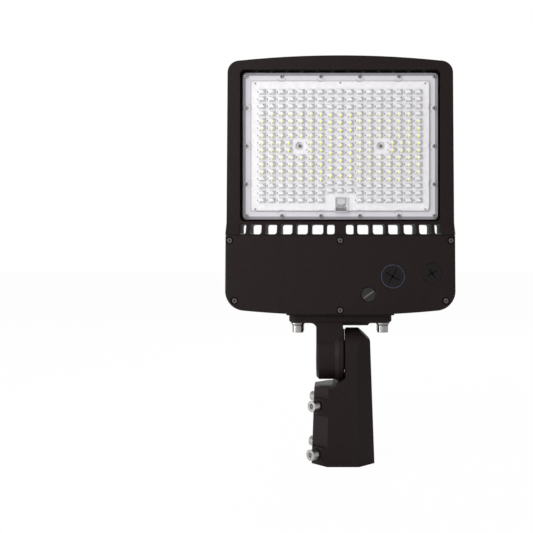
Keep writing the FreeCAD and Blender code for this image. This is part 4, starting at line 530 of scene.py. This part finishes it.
def optic_marks():
    """Painted shade that each optic shows, in grey: a dark comma at its left, a dark hook at its upper
    right, a faint line across its top, and another over the land to the next optic."""
    dark, faint = Shapes(), Shapes()
    top = OPTIC_FACE - MARK_LIFT
    land = PLATE_FACE - MARK_LIFT
    for across, up in cells():
        dark.cap((across + COMMA_PLACE[0], land, up + COMMA_PLACE[1]), COMMA_HALF, 10, MARK_RISE)
        dark.cap((across + HOOK_PLACE[0], top, up + HOOK_PLACE[1]), HOOK_HALF, 10, MARK_RISE)
        faint.bar((across + LAND_LINE_PLACE[0], up + LAND_LINE_PLACE[1]), land, **LAND_LINE)
        faint.bar((across + TOP_LINE_PLACE[0], up + TOP_LINE_PLACE[1]), top, **TOP_LINE)
    dark.add("optic_marks", SHADOW_GREY, "lens")
    faint.add("optic_shade_lines", FAINT_SHADE_GREY, "lens")


RECESS_LIFT = 0.03
RECESS_SIDES = 6
DOOR_RECESS_RADIUS = 1.45
LENS_RECESS_RADIUS = 1.0


def recesses(name, places, radius):
    """Painted shade: a dark disc in the drive recess of each small screw."""
    shapes = Shapes()
    for x, y, z in places:
        shapes.cap((x, y - RECESS_LIFT, z), (radius, radius), RECESS_SIDES)
    shapes.add(name, RECESS_SHADE_BLACK, "steel", smooth=False)


def screw_recesses():
    """The painted shade in the recesses of the door's screws and of the lens plate's."""
    door = [(HEAD_X + across, DOOR_SCREW_FACE, LAND_Z + up) for across, up in DOOR_SCREWS]
    lens = [(across, LENS_SCREW_FACE, up) for across, up in lens_screws()]
    recesses("door_screw_recesses", door, DOOR_RECESS_RADIUS)
    recesses("lens_screw_recesses", lens, LENS_RECESS_RADIUS)


# From the window's middle, in X and Z.
PIN_MARKS = ((-100, 73.6), (0, 74.4), (100, 73.6), (-100, -74.4), (100, -74.4))
PIN_MARK_HALF = (1.3, 1.3)
PIN_MARK_RISE = 0.3


def pin_marks():
    """Round moulding marks along the plate's long edges; their grey is painted shade."""
    shapes = Shapes()
    for across, up in PIN_MARKS:
        centre = (HEAD_X + across, PLATE_FACE - MARK_LIFT, WINDOW_Z + up)
        shapes.cap(centre, PIN_MARK_HALF, 12, PIN_MARK_RISE)
    shapes.add("pin_marks", SHADOW_GREY, "lens")


EDGE_REACH = 1
SCALLOP_INNER = 5.3
SCALLOP_OUTER = 6.1
SCALLOP_SWING = 62
SCALLOP_POINTS = 11
SCALLOP_LIFT = 0.1


def way_inwards(across, up):
    """The direction in degrees from an edge screw into the plate, and None at a corner or inner screw."""
    on_side = abs(abs(across - HEAD_X) - HALF_WIDTH + LENS_SCREW_INSET) < EDGE_REACH
    on_end = abs(abs(up - WINDOW_Z) - HALF_HEIGHT + LENS_SCREW_INSET) < EDGE_REACH
    if on_side == on_end:
        return None
    if on_end:
        return 270 if up > WINDOW_Z else 90
    return 0 if across < HEAD_X else 180


def screw_scallops():
    """Painted shade of the curved step round the inner side of each edge screw, drawn as a grey ribbon."""
    shapes = Shapes()
    for centre in lens_screws():
        inwards = way_inwards(*centre)
        if inwards is None:
            continue
        sweep = (inwards + SCALLOP_SWING, inwards - SCALLOP_SWING, RIM_FACE - SCALLOP_LIFT, SCALLOP_POINTS)
        outer = arc_line(centre, SCALLOP_OUTER, *sweep)
        inner = arc_line(centre, SCALLOP_INNER, *sweep)
        shapes.ribbon(outer, inner)
    shapes.add("screw_scallops", SCALLOP_SHADE_GREY, "lens")


CROSS_FLOOR = DOOR_FACE + 0.25
SLOT_FLOOR = SELECTOR_FACE + 0.3
RIM_INNER = LARGE_PLUG_RADIUS - 0.9
RIM_OUTER = LARGE_PLUG_RADIUS - 0.25
RIM_POINTS = 49


def plug_details():
    """Painted shade on the floor of each plug's cross, a painted highlight along the selector's slot, and
    a bluish painted reflection on the large plug's rim.
    """
    crosses = Shapes()
    for centre, length, width, turn in PLUG_CROSSES:
        for quarter in (0, 90):
            crosses.bar(centre, CROSS_FLOOR, length, width, turn + quarter)
    crosses.add("plug_crosses", SLOT_SHADE_BLACK, "plug_paint", smooth=False)
    # A painted highlight, drawn as a bar along the selector's slot.
    slot = Shapes()
    slot.bar(SELECTOR, SLOT_FLOOR, **SELECTOR_SLOT)
    slot.add("selector_slot_highlight", SLOT_HIGHLIGHT, "plug_paint", body="selector", smooth=False)
    # A bluish painted reflection on the large plug's rim.
    rim = Shapes()
    inner = arc_line(LARGE_PLUG, RIM_INNER, 360, 0, DOOR_FACE - 0.04, RIM_POINTS)
    outer = arc_line(LARGE_PLUG, RIM_OUTER, 360, 0, DOOR_FACE - 0.02, RIM_POINTS)
    rim.ribbon(outer, inner)
    rim.add("plug_rim_reflection", RIM_REFLECTION_BLUE, "plug_paint")


# The scale in degrees each way, a tick at every step and a figure with a long tick at every sixth.
SCALE_REACH = 90
TICK_STEP = 5
FIGURE_STEP = 30
TICK_OUTER = 25.5
TICK_INNER = 22.5
LONG_TICK_INNER = 19.5
TICK_HALF_WIDTH = 0.35
SCALE_LIFT = 0.12
FIGURE_RADIUS = 15.6
FIGURE_SIZE = 5.2


def scale_ticks():
    ticks = Shapes()
    for degrees in range(-SCALE_REACH, SCALE_REACH + 1, TICK_STEP):
        angle = math.radians(degrees - 90)
        along = (math.cos(angle), math.sin(angle))
        side = (-along[1] * TICK_HALF_WIDTH, along[0] * TICK_HALF_WIDTH)
        inner = TICK_INNER if degrees % FIGURE_STEP else LONG_TICK_INNER
        edges = []
        for sign in (1, -1):
            y = sign * side[0]
            z = PIVOT_Z + sign * side[1]
            edges.append([
                (SCALE_FACE - SCALE_LIFT, y + radius * along[0], z + radius * along[1])
                for radius in (inner, TICK_OUTER)
            ])
        ticks.ribbon(*edges)
    ticks.add("scale_ticks", SCALE_HIGHLIGHT_PAINT, "body_paint", smooth=False)


def scale_figure(degrees):
    """One upright figure that faces -X. It counts from 0 at the bottom, and its name from the first."""
    curve = bpy.data.curves.new(f"scale_figure_{degrees + SCALE_REACH}", "FONT")
    curve.body = str(abs(degrees))
    curve.size = FIGURE_SIZE * MM
    curve.extrude = SCALE_LIFT * MM
    curve.align_x = "CENTER"
    curve.align_y = "CENTER"
    curve.materials.append(SCALE_HIGHLIGHT_PAINT)
    figure = bpy.data.objects.new(curve.name, curve)
    bpy.context.scene.collection.objects.link(figure)
    angle = math.radians(degrees - 90)
    figure.location = (
        SCALE_FACE * MM,
        FIGURE_RADIUS * math.cos(angle) * MM,
        (PIVOT_Z + FIGURE_RADIUS * math.sin(angle)) * MM,
    )
    figure.rotation_euler = (math.radians(90), 0, math.radians(-90))
    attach(figure, "head")


def angle_scale():
    """The ticks and figures on the round face of the knuckle, a relief in the body's paint shown with a
    painted highlight.
    """
    scale_ticks()
    for degrees in range(-SCALE_REACH, SCALE_REACH + 1, FIGURE_STEP):
        scale_figure(degrees)


led_images()
optic_marks()
screw_recesses()
pin_marks()
screw_scallops()
plug_details()
angle_scale()


# ---------------------------------------------------------------- floor, light and camera, in metres

FLOOR_HALF = 9.0
FLOOR_DROP = 0.0005
FLOOR_GREY = 0.86
FLOOR_ROUGHNESS = 0.9
FLOOR_GLOW_SEEN = 0.97
SURROUND_LIGHT = 0.52
SURROUND_SEEN = 1.0

# Each lamp: its place, the point it faces, its power in watts and the length of its sides.
LAMPS = {
    "key": ((-0.8, -0.8, 0.85), (0, 0, 0.35), 13, 1.2),
    "side": ((-1.2, -0.4, 0.3), (0, 0, 0.2), 4.5, 0.8),
    "back": ((0.2, 1.4, 1.1), (0, 0, 0.28), 10, 1.0),
}

CAMERA_DISTANCE = 1.0
CAMERA_HEIGHT = 0.251
CAMERA_LENS = 56.3
CAMERA_SENSOR = 36
CAMERA_SHIFT = (-0.1385, -0.031)


def stage_floor():
    """A wide floor just under the part: nearly white where it is seen, pale grey to the light."""
    half = FLOOR_HALF
    corners = [(-half, -half, 0), (half, -half, 0), (half, half, 0), (-half, half, 0)]
    mesh = bpy.data.meshes.new("floor")
    mesh.from_pydata(corners, [], [(0, 1, 2, 3)])
    floor = bpy.data.objects.new("floor", mesh)
    floor.location.z = -FLOOR_DROP
    bpy.context.scene.collection.objects.link(floor)
    material = bpy.data.materials.new("floor")
    material.use_nodes = True
    tree = material.node_tree
    shader = tree.nodes["Principled BSDF"]
    shader.inputs["Base Color"].default_value = (FLOOR_GREY, FLOOR_GREY, FLOOR_GREY, 1)
    shader.inputs["Roughness"].default_value = FLOOR_ROUGHNESS
    glow = tree.nodes.new("ShaderNodeEmission")
    path = tree.nodes.new("ShaderNodeLightPath")
    seen = tree.nodes.new("ShaderNodeMath")
    seen.operation = "MULTIPLY"
    seen.inputs[1].default_value = FLOOR_GLOW_SEEN
    mix = tree.nodes.new("ShaderNodeMixShader")
    tree.links.new(path.outputs["Is Camera Ray"], seen.inputs[0])
    tree.links.new(seen.outputs["Value"], mix.inputs["Fac"])
    tree.links.new(shader.outputs["BSDF"], mix.inputs[1])
    tree.links.new(glow.outputs["Emission"], mix.inputs[2])
    tree.links.new(mix.outputs["Shader"], tree.nodes["Material Output"].inputs["Surface"])
    mesh.materials.append(material)


def world_light():
    """A plain surround: white where it is seen, also through the lens plate, and dimmer as a light."""
    world = bpy.data.worlds.new("surround")
    bpy.context.scene.world = world
    world.use_nodes = True
    tree = world.node_tree
    background = tree.nodes["Background"]
    background.inputs["Color"].default_value = (1, 1, 1, 1)
    path = tree.nodes.new("ShaderNodeLightPath")
    seen = tree.nodes.new("ShaderNodeMath")
    seen.operation = "MAXIMUM"
    tree.links.new(path.outputs["Is Camera Ray"], seen.inputs[0])
    tree.links.new(path.outputs["Is Transmission Ray"], seen.inputs[1])
    strength = tree.nodes.new("ShaderNodeMapRange")
    strength.inputs["To Min"].default_value = SURROUND_LIGHT
    strength.inputs["To Max"].default_value = SURROUND_SEEN
    tree.links.new(seen.outputs["Value"], strength.inputs["Value"])
    tree.links.new(strength.outputs["Result"], background.inputs["Strength"])


def lamp(name, place, target, power, side):
    """A square lamp that faces a point."""
    light = bpy.data.lights.new(name, "AREA")
    light.energy = power
    light.size = side
    holder = bpy.data.objects.new(name, light)
    holder.location = place
    holder.rotation_euler = (Vector(target) - Vector(place)).to_track_quat("-Z", "Y").to_euler()
    bpy.context.scene.collection.objects.link(holder)


def camera():
    """The photograph's view: level, square to the light-giving side."""
    data = bpy.data.cameras.new("camera")
    data.lens = CAMERA_LENS
    data.sensor_width = CAMERA_SENSOR
    data.shift_x, data.shift_y = CAMERA_SHIFT
    eye = bpy.data.objects.new("camera", data)
    eye.location = (HEAD_X * MM, -CAMERA_DISTANCE, CAMERA_HEIGHT)
    eye.rotation_euler = (math.radians(90), 0, 0)
    bpy.context.scene.collection.objects.link(eye)
    bpy.context.scene.camera = eye


stage_floor()
world_light()
for lamp_name, lamp_values in LAMPS.items():
    lamp(lamp_name, *lamp_values)
camera()
bpy.context.scene.view_settings.view_transform = "Standard"
